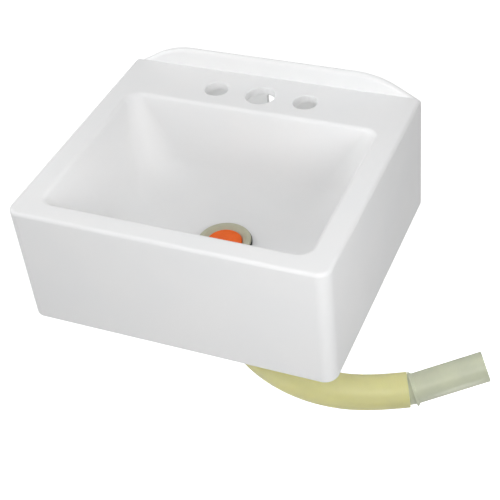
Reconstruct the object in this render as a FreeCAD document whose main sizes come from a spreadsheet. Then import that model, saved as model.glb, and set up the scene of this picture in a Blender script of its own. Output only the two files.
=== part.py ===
import FreeCAD, Part
import math
import os
import re
import Sketcher

# A wall-mounted bathroom sink with its wall plate, brackets, waste, stopper and drain hose.
# The origin is on the wall, at mid width and rim height: +X to the right, +Y into the wall, +Z up.

Vector = FreeCAD.Vector
Rotation = FreeCAD.Rotation

# Driving dimensions, in millimetres and degrees
SIZES = {
    # Basin casting
    "basin_width": 332,
    "basin_depth": 287,
    "skirt_drop": 23,
    "front_corner_radius": 14,
    "rim_edge_radius": 4,
    "foot_edge_radius": 2,
    "skirt_wall": 6,
    "deck_thickness": 9,
    # Bowl
    "side_rim": 26,
    "deck_depth": 65,
    "front_rim": 24,
    "bowl_depth": 106,
    "bowl_wall": 8,
    "bowl_lip_radius": 5,
    "bowl_corner_radius": 14,
    "bowl_side_lean": 22,
    "bowl_end_lean": 15,
    "floor_fall": 9,
    "floor_corner_radius": 52,
    "knee_radius": 42,
    "drain_offset": 5.5,
    "seat_margin": 1.5,
    "seat_flat": 1,
    # Tap holes: one in the middle and one each side
    "tap_spacing": 101.6,
    "middle_tap_diameter": 31.75,
    "side_tap_diameter": 25.4,
    "tap_to_bowl": 30,
    # Wall plate with its upstand
    "plate_thickness": 6,
    "plate_side_gap": 2,
    "plate_foot_gap": 12,
    "plate_foot_radius": 10,
    "upstand_height": 20.5,
    "upstand_inset": 12,
    "upstand_slope": 30,
    "upstand_radius": 90,
    "slot_width": 18,
    "slot_height": 50,
    "slot_drop": 16,
    "wall_hole_diameter": 7,
    "wall_hole_inset": 19,
    "wall_hole_drop": 30,
    "wall_hole_pitch": 75,
    # Angle brackets between the plate and the deck
    "bracket_inset": 54,
    "bracket_width": 40,
    "bracket_sheet": 3,
    "bracket_height": 70,
    "bracket_bowl_gap": 5,
    "gusset_margin": 5,
    # Fasteners of the brackets
    "screw_diameter": 6,
    "screw_clearance": 0.3,
    "thread_gap": 0.1,
    "fastener_offset": 12,
    "stud_drop": 40,
    "stud_end": 2.8,
    "stud_head_rim": 2.5,
    "stud_head_height": 2,
    "washer_rim": 3.25,
    "washer_thickness": 1.2,
    "nut_across_flats": 10,
    "nut_height": 5,
    "screw_head_rim": 2.25,
    "screw_head_height": 4,
    "screw_socket": 4,
    "screw_socket_depth": 2.4,
    "screw_end_gap": 1,
    "insert_wall": 1.4,
    "insert_length": 6,
    # Waste in the bowl
    "seal_thickness": 3.5,
    "seal_rim": 1,
    "flange_overhang": 6.75,
    "flange_thickness": 2.5,
    "flange_face": 5,
    "flange_bevel": 1,
    "cup_diameter": 38,
    "cup_lip": 3.5,
    "cup_depth": 18,
    "stopper_ledge": 3,
    "barrel_wall": 2.75,
    "barrel_gap": 0.4,
    "stopper_gap": 0.3,
    "stopper_drop": 1.5,
    "stopper_bevel": 0.8,
    "stopper_crown": 0.5,
    # Nuts and rings under the bowl
    "gasket_width": 8.85,
    "gasket_thickness": 4,
    "friction_ring_thickness": 1.5,
    "lock_nut_wall": 8.25,
    "lock_nut_height": 10,
    "nut_spacing": 1.5,
    "slip_nut_wall": 5.25,
    "slip_nut_engagement": 8,
    "slip_nut_lip": 4.2,
    "tail_washer_thickness": 1.5,
    "tail_flange_thickness": 2,
    "swivel_gap": 0.3,
    # Tailpiece, hose and its clamp
    "tail_wall": 2,
    "tail_insert": 29,
    "hose_slack": 0.2,
    "hose_wall": 2.8,
    "hose_gap": 5,
    "hose_heading": 22,
    "clamp_drop": 6,
    "clamp_width": 12,
    "clamp_sheet": 1,
    "clamp_gap": 0.1,
    "housing_length": 16,
    "housing_height": 7,
    "housing_overhang": 1,
    "clamp_screw_diameter": 4,
    "clamp_screw_end": 10,
    "clamp_head_across_flats": 7,
    "clamp_head_height": 5,
    # Tube in the hose's far end
    "spigot_length": 26,
    "stop_rise": 1.5,
    "stop_length": 1,
    "neck_length": 4.5,
    "collar_rise": 2.7,
    "collar_length": 4,
    "collar_rim": 1.3,
    "end_tube_length": 88.5,
    "end_tube_wall": 3,
    "end_tube_heading": 28,
    "end_tube_rise": 14.5,
}

# Places and sizes that follow from the driving dimensions
WORKED_OUT = {
    # Diameters of the drain, outwards from the waste's cup
    "outlet_diameter": "cup_diameter - 2 * stopper_ledge",
    "barrel_diameter": "cup_diameter + 2 * barrel_wall",
    "barrel_bore": "barrel_diameter + 2 * barrel_gap",
    "barrel_thread": "barrel_diameter + 2 * thread_gap",
    "flange_diameter": "barrel_diameter + 2 * flange_overhang",
    "flange_mouth": "flange_diameter - 2 * flange_face",
    "seal_diameter": "flange_diameter + 2 * seal_rim",
    "gasket_diameter": "barrel_bore + 2 * gasket_width",
    "tail_diameter": "outlet_diameter + 2 * tail_wall",
    "tail_flange_diameter": "barrel_diameter - 2 * swivel_gap",
    "hose_bore": "tail_diameter + 2 * hose_slack",
    "hose_diameter": "hose_bore + 2 * hose_wall",
    "end_tube_bore": "tail_diameter - 2 * end_tube_wall",
    # Basin, measured from the wall and from the rim
    "half_width": "basin_width / 2",
    "basin_height": "bowl_depth + bowl_wall + skirt_drop",
    "back_face": "-plate_thickness",
    "front_face": "back_face - basin_depth",
    "deck_underside": "-deck_thickness",
    "foot": "-basin_height",
    "cavity_half_width": "half_width - skirt_wall",
    "cavity_front": "front_face + skirt_wall",
    "cavity_corner_radius": "max(front_corner_radius - skirt_wall; foot_edge_radius)",
    # Bowl: three outlines inside, and the same three a wall further out
    "bowl_half_width": "half_width - side_rim",
    "bowl_half_depth": "(basin_depth - deck_depth - front_rim) / 2",
    "bowl_middle": "back_face - deck_depth - bowl_half_depth",
    "knee_half_width": "bowl_half_width - bowl_side_lean",
    "knee_half_depth": "bowl_half_depth - bowl_end_lean",
    "knee_level": "floor_fall - bowl_depth",
    "seat_level": "-bowl_depth",
    "seat_half": "seal_diameter / 2 + seat_margin",
    "floor_run": "knee_half_depth - drain_offset - seat_half",
    "knee_round": "min(knee_radius; floor_corner_radius - bowl_wall; floor_run - bowl_wall / 2)",
    "seat_corner": "seat_half - seat_flat",
    "drain_y": "bowl_middle + drain_offset",
    "shell_half_width": "bowl_half_width + bowl_wall",
    "shell_half_depth": "bowl_half_depth + bowl_wall",
    "shell_corner": "bowl_corner_radius + bowl_wall",
    "shell_knee_half_width": "knee_half_width + bowl_wall",
    "shell_knee_half_depth": "knee_half_depth + bowl_wall",
    "shell_knee_corner": "floor_corner_radius + bowl_wall",
    "shell_knee_level": "knee_level - bowl_wall",
    "shell_knee_round": "knee_round + bowl_wall",
    "under_seat": "seat_level - bowl_wall",
    "under_seat_half": "seat_half + bowl_wall",
    "under_seat_corner": "under_seat_half - seat_flat",
    # Taps and wall plate
    "tap_y": "back_face - deck_depth + tap_to_bowl",
    "tap_half_spacing": "tap_spacing / 2",
    "plate_half_width": "half_width - plate_side_gap",
    "plate_foot": "foot + plate_foot_gap",
    "shoulder": "half_width - upstand_inset - upstand_height / tan(upstand_slope)",
    "slant_foot": "upstand_height - (plate_half_width - shoulder) * tan(upstand_slope)",
    "slot_radius": "slot_width / 2",
    "slot_high": "-slot_drop - slot_radius",
    "slot_low": "-slot_drop - slot_height + slot_radius",
    "wall_hole_x": "plate_half_width - wall_hole_inset",
    "wall_hole_low": "-wall_hole_drop - wall_hole_pitch",
    # Brackets and their fasteners
    "bracket_x": "half_width - bracket_inset",
    "bracket_reach": "deck_depth - bowl_wall - bracket_bowl_gap",
    "bracket_front": "back_face - bracket_reach",
    "bracket_face": "back_face - bracket_sheet",
    "bracket_under": "deck_underside - bracket_sheet",
    "bracket_low": "deck_underside - bracket_height",
    "screw_hole": "screw_diameter + 2 * screw_clearance",
    "screw_thread": "screw_diameter + 2 * thread_gap",
    "stud_head_diameter": "screw_diameter + 2 * stud_head_rim",
    "washer_diameter": "screw_diameter + 2 * washer_rim",
    "screw_head_diameter": "screw_diameter + 2 * screw_head_rim",
    "insert_diameter": "screw_thread + 2 * insert_wall",
    "stud_z": "deck_underside - stud_drop",
    "stud_length": "plate_thickness + bracket_sheet + washer_thickness + nut_height + stud_end",
    "screw_y": "(bracket_face + bracket_front) / 2",
    "screw_length": "washer_thickness + bracket_sheet + insert_length - screw_end_gap",
    "washer_face": "bracket_face - washer_thickness",
    "washer_under": "bracket_under - washer_thickness",
    "screw_head_under": "washer_under - screw_head_height",
    # Waste and tailpiece, downwards from the bowl's seat
    "seal_top": "seat_level + seal_thickness",
    "flange_top": "seal_top + flange_thickness",
    "cup_floor": "flange_top - cup_depth",
    "stopper_radius": "cup_diameter / 2 - stopper_gap",
    "stopper_top": "flange_top - stopper_drop",
    "gasket_under": "under_seat - gasket_thickness",
    "friction_under": "gasket_under - friction_ring_thickness",
    "lock_nut_across_flats": "barrel_diameter + 2 * lock_nut_wall",
    "lock_nut_under": "friction_under - lock_nut_height",
    "slip_nut_across_flats": "barrel_diameter + 2 * slip_nut_wall",
    "slip_nut_top": "lock_nut_under - nut_spacing",
    "barrel_end": "slip_nut_top - slip_nut_engagement",
    "tail_top": "barrel_end - tail_washer_thickness",
    "tail_flange_under": "tail_top - tail_flange_thickness",
    "slip_nut_seat": "tail_flange_under - swivel_gap",
    "slip_nut_under": "slip_nut_seat - slip_nut_lip",
    "hose_top": "slip_nut_under - hose_gap",
    "tail_end": "hose_top - tail_insert",
    # Clamp round the hose, and the tube in its far end
    "clamp_bore": "hose_diameter + 2 * clamp_gap",
    "clamp_outer": "clamp_bore + 2 * clamp_sheet",
    "clamp_low": "hose_top - clamp_drop - clamp_width",
    "clamp_middle": "clamp_low + clamp_width / 2",
    "housing_front": "clamp_outer / 2 + housing_height",
    "clamp_screw_y": "drain_y - clamp_outer / 2 - housing_height / 2",
    "stop_diameter": "tail_diameter + 2 * stop_rise",
    "collar_diameter": "tail_diameter + 2 * collar_rise",
    "collar_slope": "collar_length - collar_rim",
}

# The hose's line, as reach from the drain's axis and height from the hose's top end
HOSE_ROUTE = [(0, 0), (0, -54), (16, -111), (48, -154), (92, -184), (145, -197), (191, -193.2)]
# How much of a run the arc at each of its ends may take
ARC_SHARE = 0.45
# How close an edge lies to the place where it is looked for
NEAR = 0.01

TOWARDS_ROOM = Rotation(Vector(1, 0, 0), 90)
ALONG_X = Rotation(Vector(0, 1, 0), 90)

doc = FreeCAD.newDocument("wall_sink")
sheet = doc.addObject("Spreadsheet::Sheet", "Sizes")
nodes = []


def fill_sheet():
    """Writes the driving numbers and then the formulas that follow from them."""
    rows = [(name, str(number)) for name, number in SIZES.items()]
    rows += [(name, "=" + formula) for name, formula in WORKED_OUT.items()]
    for row, (name, text) in enumerate(rows, start=1):
        sheet.set(f"A{row}", name)
        sheet.set(f"B{row}", text)
        sheet.setAlias(f"B{row}", name)
    doc.recompute()


def cells(text):
    """The text with every size's name turned into a reference to its cell."""

    def reference(word):
        name = word.group()
        return f"Sizes.{name}" if name in SIZES or name in WORKED_OUT else name

    return re.sub(r"[a-z]\w*", reference, text)


def size(name):
    return float(sheet.get(name))


def bind(item, **properties):
    """Binds properties of an object to expressions in the sheet's names."""
    for name, text in properties.items():
        item.setExpression(name, cells(text))


def place(item, x="0", y="0", z="0", turn=None):
    """Puts an object at x, y, z, each an expression, after an optional turn."""
    if turn:
        item.Placement = FreeCAD.Placement(Vector(), turn)
    for axis, text in (("x", x), ("y", y), ("z", z)):
        item.setExpression(f"Placement.Base.{axis}", cells(text))
    return item


def node(item, label):
    """Names an object as one piece of the assembly."""
    item.Label = label
    nodes.append(item)
    return item


def new_body(name):
    return doc.addObject("PartDesign::Body", name)


def sketch_on(body, role, level="0"):
    """A sketch on one of the body's own planes, moved along that plane's normal."""
    sketch = body.newObject("Sketcher::SketchObject", body.Name + "_sketch")
    plane = next(item for item in body.Origin.OriginFeatures if item.Role == role)
    sketch.AttachmentSupport = (plane, [""])
    sketch.MapMode = "FlatFace"
    sketch.setExpression("AttachmentOffset.Base.z", cells(level))
    return sketch


def fix(sketch, constraint, text):
    index = sketch.addConstraint(constraint)
    sketch.setExpression(f"Constraints[{index}]", cells(text))


def polygon(sketch, corners):
    """A closed outline of straight lines whose corners are pairs of expressions."""
    count = len(corners)
    for i in range(count):
        start = Vector(i, i * i + 1, 0)
        end = Vector(i + 1, (i + 1) ** 2 + 1, 0)
        sketch.addGeometry(Part.LineSegment(start, end))
    for i in range(count):
        sketch.addConstraint(Sketcher.Constraint("Coincident", i, 2, (i + 1) % count, 1))
    for i, (across, up) in enumerate(corners):
        fix(sketch, Sketcher.Constraint("DistanceX", i, 1, 1.0), across)
        fix(sketch, Sketcher.Constraint("DistanceY", i, 1, 1.0), up)


def circles(sketch, holes):
    """Circles given as triples of expressions: across, up and diameter."""
    for i, (across, up, diameter) in enumerate(holes):
        sketch.addGeometry(Part.Circle(Vector(i + 1, 1, 0), Vector(0, 0, 1), 1))
        fix(sketch, Sketcher.Constraint("DistanceX", i, 3, 1.0), across)
        fix(sketch, Sketcher.Constraint("DistanceY", i, 3, 1.0), up)
        fix(sketch, Sketcher.Constraint("Diameter", i, 1.0), diameter)


def rounded_rectangle(sketch, half_across, half_up, corner, middle):
    """Four sides and four equal corner arcs, symmetric across, about a middle height."""
    a, b = size(half_across), size(half_up)
    r, m = size(corner), size(middle)
    ends = [(r - a, m - b, a - r, m - b), (a, m - b + r, a, m + b - r),
            (a - r, m + b, r - a, m + b), (-a, m + b - r, -a, m - b + r)]
    centres = [(a - r, m - b + r), (a - r, m + b - r), (r - a, m + b - r), (r - a, m - b + r)]
    for quarter, (line, centre) in enumerate(zip(ends, centres)):
        sketch.addGeometry(Part.LineSegment(Vector(line[0], line[1], 0), Vector(line[2], line[3], 0)))
        circle = Part.Circle(Vector(*centre, 0), Vector(0, 0, 1), r)
        begin = (quarter - 1) * math.pi / 2
        sketch.addGeometry(Part.ArcOfCircle(circle, begin, begin + math.pi / 2))
    for i in range(8):
        sketch.addConstraint(Sketcher.Constraint("Tangent", i, 2, (i + 1) % 8, 1))
    for line, kind in ((0, "Horizontal"), (2, "Vertical"), (4, "Horizontal"), (6, "Vertical")):
        sketch.addConstraint(Sketcher.Constraint(kind, line))
    for arc in (3, 5, 7):
        sketch.addConstraint(Sketcher.Constraint("Equal", 1, arc))
    fix(sketch, Sketcher.Constraint("Radius", 1, r), corner)
    fix(sketch, Sketcher.Constraint("DistanceY", 0, 1, m - b), f"{middle} - {half_up}")
    fix(sketch, Sketcher.Constraint("DistanceX", 2, 1, a), half_across)
    fix(sketch, Sketcher.Constraint("DistanceY", 4, 1, m + b), f"{middle} + {half_up}")
    fix(sketch, Sketcher.Constraint("DistanceX", 6, 1, -a), f"-{half_across}")


def pad(body, sketch, length, downwards=False, both_ways=False):
    feature = body.newObject("PartDesign::Pad", body.Name + "_pad")
    feature.Profile = sketch
    feature.Reversed = downwards
    feature.Midplane = both_ways
    bind(feature, Length=length)
    doc.recompute()
    return feature


def cut_through(body, sketch):
    """Cuts a sketch through the whole body, both ways from its plane."""
    feature = body.newObject("PartDesign::Pocket", body.Name + "_through")
    feature.Profile = sketch
    feature.Midplane = True
    feature.Type = "ThroughAll"
    doc.recompute()
    return feature


def revolve(body, corners):
    """Turns an outline of radius and height about the body's own Z axis."""
    sketch = sketch_on(body, "XZ_Plane")
    polygon(sketch, corners)
    feature = body.newObject("PartDesign::Revolution", body.Name + "_turned")
    feature.Profile = sketch
    feature.ReferenceAxis = (sketch, ["V_Axis"])
    feature.Angle = 360
    return feature


def near(value, target):
    return abs(value - target) < NEAR


def upright(box):
    return near(box.XLength, 0) and near(box.YLength, 0)


def at_level(box, level):
    return near(box.ZMin, level) and near(box.ZMax, level)


def round_edges(body, base, wanted, radius):
    """Rounds the edges whose boxes are wanted."""
    edges = enumerate(base.Shape.Edges, start=1)
    feature = body.newObject("PartDesign::Fillet", body.Name + "_round")
    feature.Base = (base, [f"Edge{i}" for i, edge in edges if wanted(edge.BoundBox)])
    bind(feature, Radius=radius)
    doc.recompute()
    return feature


def cylinder(name, diameter, length, **at):
    item = doc.addObject("Part::Cylinder", name)
    bind(item, Radius=f"({diameter}) / 2", Height=length)
    return place(item, **at)


def hexagon(name, across_flats, height, **at):
    item = doc.addObject("Part::Prism", name)
    item.Polygon = 6
    bind(item, Circumradius=f"{across_flats} / 2 / cos(30)", Height=height)
    return place(item, **at)


def cut(name, base, tool):
    item = doc.addObject("Part::Cut", name)
    item.Base = base
    item.Tool = tool
    return item


def join(name, items):
    item = doc.addObject("Part::MultiFuse", name)
    item.Shapes = items
    return item


def group(label, items):
    """Several equal pieces that stay separate solids in one node."""
    item = doc.addObject("Part::Compound", label)
    item.Links = items
    return node(item, label)


def ring(name, outer, inner, thickness, **at):
    disc = cylinder(name + "_disc", outer, thickness, **at)
    hole = cylinder(name + "_hole", inner, thickness, **at)
    return cut(name, disc, hole)


def bowl_walls(body, kind, outlines, knee_level, knee_round):
    """Straight leaning walls and a floor that falls to the drain, with a rounded knee between them."""
    sketches = []
    for half_across, half_deep, corner, middle, level in outlines:
        sketch = sketch_on(body, "XY_Plane", level)
        rounded_rectangle(sketch, half_across, half_deep, corner, middle)
        sketches.append(sketch)
    doc.recompute()
    loft = body.newObject(kind, body.Name + "_walls")
    loft.Profile = sketches[0]
    loft.Sections = sketches[1:]
    loft.Ruled = True
    doc.recompute()
    knee = size(knee_level)
    return round_edges(body, loft, lambda box: at_level(box, knee), knee_round)


def basin_block():
    """The casting's outer box, hung down from the rim, with the bowl hollowed out of it."""
    body = new_body("basin_block")
    sketch = sketch_on(body, "XY_Plane")
    polygon(sketch, [("-half_width", "front_face"), ("half_width", "front_face"),
                     ("half_width", "back_face"), ("-half_width", "back_face")])
    front, back, foot = size("front_face"), size("back_face"), size("foot")

    def not_back(box):
        return not near(box.YMin, back)

    box = pad(body, sketch, "basin_height", downwards=True)
    corners = round_edges(body, box, lambda b: upright(b) and near(b.YMin, front), "front_corner_radius")
    rim = round_edges(body, corners, lambda b: at_level(b, 0) and not_back(b), "rim_edge_radius")
    round_edges(body, rim, lambda b: at_level(b, foot) and not_back(b), "foot_edge_radius")
    hollow = bowl_walls(body, "PartDesign::SubtractiveLoft", [
        ("bowl_half_width", "bowl_half_depth", "bowl_corner_radius", "bowl_middle", "0"),
        ("knee_half_width", "knee_half_depth", "floor_corner_radius", "bowl_middle", "knee_level"),
        ("seat_half", "seat_half", "seat_corner", "drain_y", "seat_level"),
    ], "knee_level", "knee_round")
    half_across, half_deep, middle = size("bowl_half_width"), size("bowl_half_depth"), size("bowl_middle")

    def on_lip(edge):
        across = abs(edge.Center.x)
        deep = abs(edge.Center.y - middle)
        return at_level(edge, 0) and across < half_across + NEAR and deep < half_deep + NEAR

    round_edges(body, hollow, on_lip, "bowl_lip_radius")
    return body


def bowl_shell():
    """The bowl's outside, a wall's thickness outside its hollow."""
    body = new_body("bowl_shell")
    bowl_walls(body, "PartDesign::AdditiveLoft", [
        ("shell_half_width", "shell_half_depth", "shell_corner", "bowl_middle", "0"),
        ("shell_knee_half_width", "shell_knee_half_depth", "shell_knee_corner", "bowl_middle",
         "shell_knee_level"),
        ("under_seat_half", "under_seat_half", "under_seat_corner", "drain_y", "under_seat"),
    ], "shell_knee_level", "shell_knee_round")
    return body


def skirt_cavity():
    """The space under the deck and inside the skirt, open below and at the back."""
    body = new_body("skirt_cavity")
    sketch = sketch_on(body, "XY_Plane", "deck_underside")
    polygon(sketch, [("-cavity_half_width", "cavity_front"), ("cavity_half_width", "cavity_front"),
                     ("cavity_half_width", "0"), ("-cavity_half_width", "0")])
    box = pad(body, sketch, "basin_height", downwards=True)
    front = size("cavity_front")
    round_edges(body, box, lambda b: upright(b) and near(b.YMin, front), "cavity_corner_radius")
    return body


def fastener_spots():
    """The two fasteners on each of the two brackets, as expressions across."""
    return [f"{side} * bracket_x + {step} * fastener_offset" for side in (-1, 1) for step in (-1, 1)]


def basin():
    """The casting: hollowed out below round the bowl, then drilled for the drain, taps and inserts."""
    cavity = cut("space_round_bowl", skirt_cavity(), bowl_shell())
    casting = cut("casting", basin_block(), cavity)
    holes = [cylinder("drain_hole", "barrel_bore", "basin_height", y="drain_y", z="foot")]
    for name, x, diameter in (("left", "-tap_half_spacing", "side_tap_diameter"),
                              ("middle", "0", "middle_tap_diameter"),
                              ("right", "tap_half_spacing", "side_tap_diameter")):
        holes.append(cylinder("tap_hole_" + name, diameter, "deck_thickness",
                              x=x, y="tap_y", z="deck_underside"))
    for i, x in enumerate(fastener_spots()):
        holes.append(cylinder(f"insert_hole_{i}", "insert_diameter + 2 * thread_gap", "insert_length",
                              x=x, y="screw_y", z="deck_underside"))
    node(cut("basin", casting, join("basin_holes", holes)), "basin")


def wall_plate():
    """The panel on the wall: a sloping-shouldered upstand above the rim and a slotted plate below."""
    body = new_body("wall_plate")
    sketch = sketch_on(body, "XZ_Plane")
    polygon(sketch, [("-plate_half_width", "plate_foot"), ("plate_half_width", "plate_foot"),
                     ("plate_half_width", "slant_foot"), ("shoulder", "upstand_height"),
                     ("-shoulder", "upstand_height"), ("-plate_half_width", "slant_foot")])
    panel = pad(body, sketch, "plate_thickness")
    top, low = size("upstand_height"), size("plate_foot")

    def through(box, level):
        return near(box.XLength, 0) and at_level(box, level)

    shoulders = round_edges(body, panel, lambda b: through(b, top), "upstand_radius")
    round_edges(body, shoulders, lambda b: through(b, low), "plate_foot_radius")
    slot = sketch_on(body, "XZ_Plane")
    polygon(slot, [("-slot_radius", "slot_low"), ("slot_radius", "slot_low"),
                   ("slot_radius", "slot_high"), ("-slot_radius", "slot_high")])
    cut_through(body, slot)
    holes = [("0", "slot_high", "slot_width"), ("0", "slot_low", "slot_width")]
    holes += [(f"{side} * wall_hole_x", level, "wall_hole_diameter")
              for side in (-1, 1) for level in ("-wall_hole_drop", "wall_hole_low")]
    holes += [(x, "stud_z", "screw_thread") for x in fastener_spots()]
    drilled = sketch_on(body, "XZ_Plane")
    circles(drilled, holes)
    cut_through(body, drilled)
    heads = sketch_on(body, "XZ_Plane")
    circles(heads, [(x, "stud_z", "stud_head_diameter + 2 * thread_gap") for x in fastener_spots()])
    recess = body.newObject("PartDesign::Pocket", "stud_head_recess")
    recess.Profile = heads
    recess.Reversed = True
    bind(recess, Length="stud_head_height")
    node(body, "wall_plate")


def bracket(label, side):
    """A bent angle with a gusset: one leg on the wall plate, one under the deck."""
    body = new_body(label)
    angle = sketch_on(body, "YZ_Plane")
    polygon(angle, [("back_face", "deck_underside"), ("bracket_front", "deck_underside"),
                    ("bracket_front", "bracket_under"), ("bracket_face", "bracket_under"),
                    ("bracket_face", "bracket_low"), ("back_face", "bracket_low")])
    pad(body, angle, "bracket_width", both_ways=True)
    web = sketch_on(body, "YZ_Plane")
    polygon(web, [("bracket_face", "bracket_under"), ("bracket_front + gusset_margin", "bracket_under"),
                  ("bracket_face", "bracket_low + gusset_margin")])
    pad(body, web, "bracket_sheet", both_ways=True)
    for plane, up in (("XY_Plane", "screw_y"), ("XZ_Plane", "stud_z")):
        holes = sketch_on(body, plane)
        circles(holes, [(f"{step} * fastener_offset", up, "screw_hole") for step in (-1, 1)])
        cut_through(body, holes)
    place(body, x=f"{side} * bracket_x")
    node(body, label)


def plate_fasteners():
    """Studs set into the back of the plate, with the washers and nuts that hold the brackets."""
    studs, washers, nuts = [], [], []
    for i, x in enumerate(fastener_spots()):
        at = {"x": x, "z": "stud_z", "turn": TOWARDS_ROOM}
        head = cylinder(f"stud_head_{i}", "stud_head_diameter", "stud_head_height", **at)
        shank = cylinder(f"stud_shank_{i}", "screw_diameter", "stud_length", **at)
        studs.append(join(f"stud_{i}", [head, shank]))
        washers.append(ring(f"stud_washer_{i}", "washer_diameter", "screw_hole", "washer_thickness",
                            y="bracket_face", **at))
        blank = hexagon(f"stud_nut_blank_{i}", "nut_across_flats", "nut_height", y="washer_face", **at)
        thread = cylinder(f"stud_nut_thread_{i}", "screw_thread", "nut_height", y="washer_face", **at)
        nuts.append(cut(f"stud_nut_{i}", blank, thread))
    group("plate_studs", studs)
    group("stud_washers", washers)
    group("stud_nuts", nuts)


def deck_fasteners():
    """Threaded inserts in the deck, with the screws and washers that hold it on the brackets."""
    inserts, washers, screws = [], [], []
    for i, x in enumerate(fastener_spots()):
        at = {"x": x, "y": "screw_y"}
        inserts.append(ring(f"deck_insert_{i}", "insert_diameter", "screw_thread", "insert_length",
                            z="deck_underside", **at))
        washers.append(ring(f"deck_washer_{i}", "washer_diameter", "screw_hole", "washer_thickness",
                            z="washer_under", **at))
        head = cylinder(f"screw_head_{i}", "screw_head_diameter", "screw_head_height",
                        z="screw_head_under", **at)
        shank = cylinder(f"screw_shank_{i}", "screw_diameter", "screw_length", z="washer_under", **at)
        socket = hexagon(f"screw_socket_{i}", "screw_socket", "screw_socket_depth",
                         z="screw_head_under", **at)
        screws.append(cut(f"deck_screw_{i}", join(f"screw_blank_{i}", [head, shank]), socket))
    group("deck_inserts", inserts)
    group("deck_washers", washers)
    group("deck_screws", screws)


def turned(label, corners):
    """A turned piece on the drain's axis, from an outline of radius and height."""
    body = new_body(label)
    revolve(body, corners)
    place(body, y="drain_y")
    node(body, label)


def drain_ring(label, outer, inner, thickness, level):
    node(ring(label, outer, inner, thickness, y="drain_y", z=level), label)


def waste():
    """The flanged waste in the bowl's floor, its dark seal and the stopper in its cup."""
    turned("waste_body", [
        ("flange_mouth / 2", "flange_top"),
        ("flange_diameter / 2 - flange_bevel", "flange_top"),
        ("flange_diameter / 2", "flange_top - flange_bevel"),
        ("flange_diameter / 2", "seal_top"),
        ("barrel_diameter / 2", "seal_top"),
        ("barrel_diameter / 2", "barrel_end"),
        ("outlet_diameter / 2", "barrel_end"),
        ("outlet_diameter / 2", "cup_floor"),
        ("cup_diameter / 2", "cup_floor"),
        ("cup_diameter / 2", "flange_top - cup_lip"),
    ])
    turned("stopper", [
        ("0", "cup_floor"),
        ("stopper_radius - stopper_bevel", "cup_floor"),
        ("stopper_radius", "cup_floor + stopper_bevel"),
        ("stopper_radius", "stopper_top - stopper_bevel"),
        ("stopper_radius - stopper_bevel", "stopper_top"),
        ("0", "stopper_top + stopper_crown"),
    ])
    drain_ring("flange_seal", "seal_diameter", "barrel_bore", "seal_thickness", "seat_level")


def under_bowl():
    """The rings and nuts that clamp the waste to the bowl and carry the tailpiece."""
    drain_ring("under_gasket", "gasket_diameter", "barrel_bore", "gasket_thickness", "gasket_under")
    drain_ring("friction_ring", "gasket_diameter", "barrel_bore", "friction_ring_thickness",
               "friction_under")
    at = {"y": "drain_y", "z": "lock_nut_under"}
    blank = hexagon("lock_nut_blank", "lock_nut_across_flats", "lock_nut_height", **at)
    thread = cylinder("lock_nut_thread", "barrel_thread", "lock_nut_height", **at)
    node(cut("lock_nut", blank, thread), "lock_nut")
    at = {"y": "drain_y", "z": "slip_nut_under"}
    height = "slip_nut_top - slip_nut_under"
    blank = hexagon("slip_nut_blank", "slip_nut_across_flats", height, **at)
    passage = cylinder("slip_nut_passage", "tail_diameter + 2 * swivel_gap", height, **at)
    thread = cylinder("slip_nut_thread", "barrel_thread", "slip_nut_top - slip_nut_seat",
                      y="drain_y", z="slip_nut_seat")
    node(cut("slip_nut", blank, join("slip_nut_inside", [passage, thread])), "slip_nut")
    drain_ring("tail_washer", "tail_flange_diameter", "outlet_diameter", "tail_washer_thickness", "tail_top")
    turned("tailpiece", [
        ("outlet_diameter / 2", "tail_top"),
        ("tail_flange_diameter / 2", "tail_top"),
        ("tail_flange_diameter / 2", "tail_flange_under"),
        ("tail_diameter / 2", "tail_flange_under"),
        ("tail_diameter / 2", "tail_end"),
        ("outlet_diameter / 2", "tail_end"),
    ])


def clamp():
    """A worm-drive clamp: a band round the hose, a housing on it and the screw across the front."""
    drain_ring("clamp_band", "clamp_outer", "clamp_bore", "clamp_width", "clamp_low")
    block = doc.addObject("Part::Box", "housing_block")
    height = "clamp_width + 2 * housing_overhang"
    bind(block, Length="housing_length", Width="housing_front", Height=height)
    place(block, x="-housing_length / 2", y="drain_y - housing_front", z="clamp_low - housing_overhang")
    seat = cylinder("housing_seat", "clamp_outer + 2 * clamp_gap", height,
                    y="drain_y", z="clamp_low - housing_overhang")
    at = {"y": "clamp_screw_y", "z": "clamp_middle", "turn": ALONG_X}
    bore = cylinder("housing_bore", "clamp_screw_diameter + 2 * clamp_gap", "housing_length",
                    x="-housing_length / 2", **at)
    node(cut("clamp_housing", block, join("housing_inside", [seat, bore])), "clamp_housing")
    shank = cylinder("clamp_screw_shank", "clamp_screw_diameter", "housing_length + clamp_screw_end",
                     x="-housing_length / 2 - clamp_screw_end", **at)
    head = hexagon("clamp_screw_head", "clamp_head_across_flats", "clamp_head_height",
                   x="housing_length / 2", **at)
    node(join("clamp_screw", [shank, head]), "clamp_screw")


def hose_points():
    """The hose's route in space: down from its top end and out along its heading."""
    heading = math.radians(size("hose_heading"))
    across, inward = math.cos(heading), math.sin(heading)
    top, drain = size("hose_top"), size("drain_y")
    return [Vector(reach * across, drain + reach * inward, top + rise) for reach, rise in HOSE_ROUTE]


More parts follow.
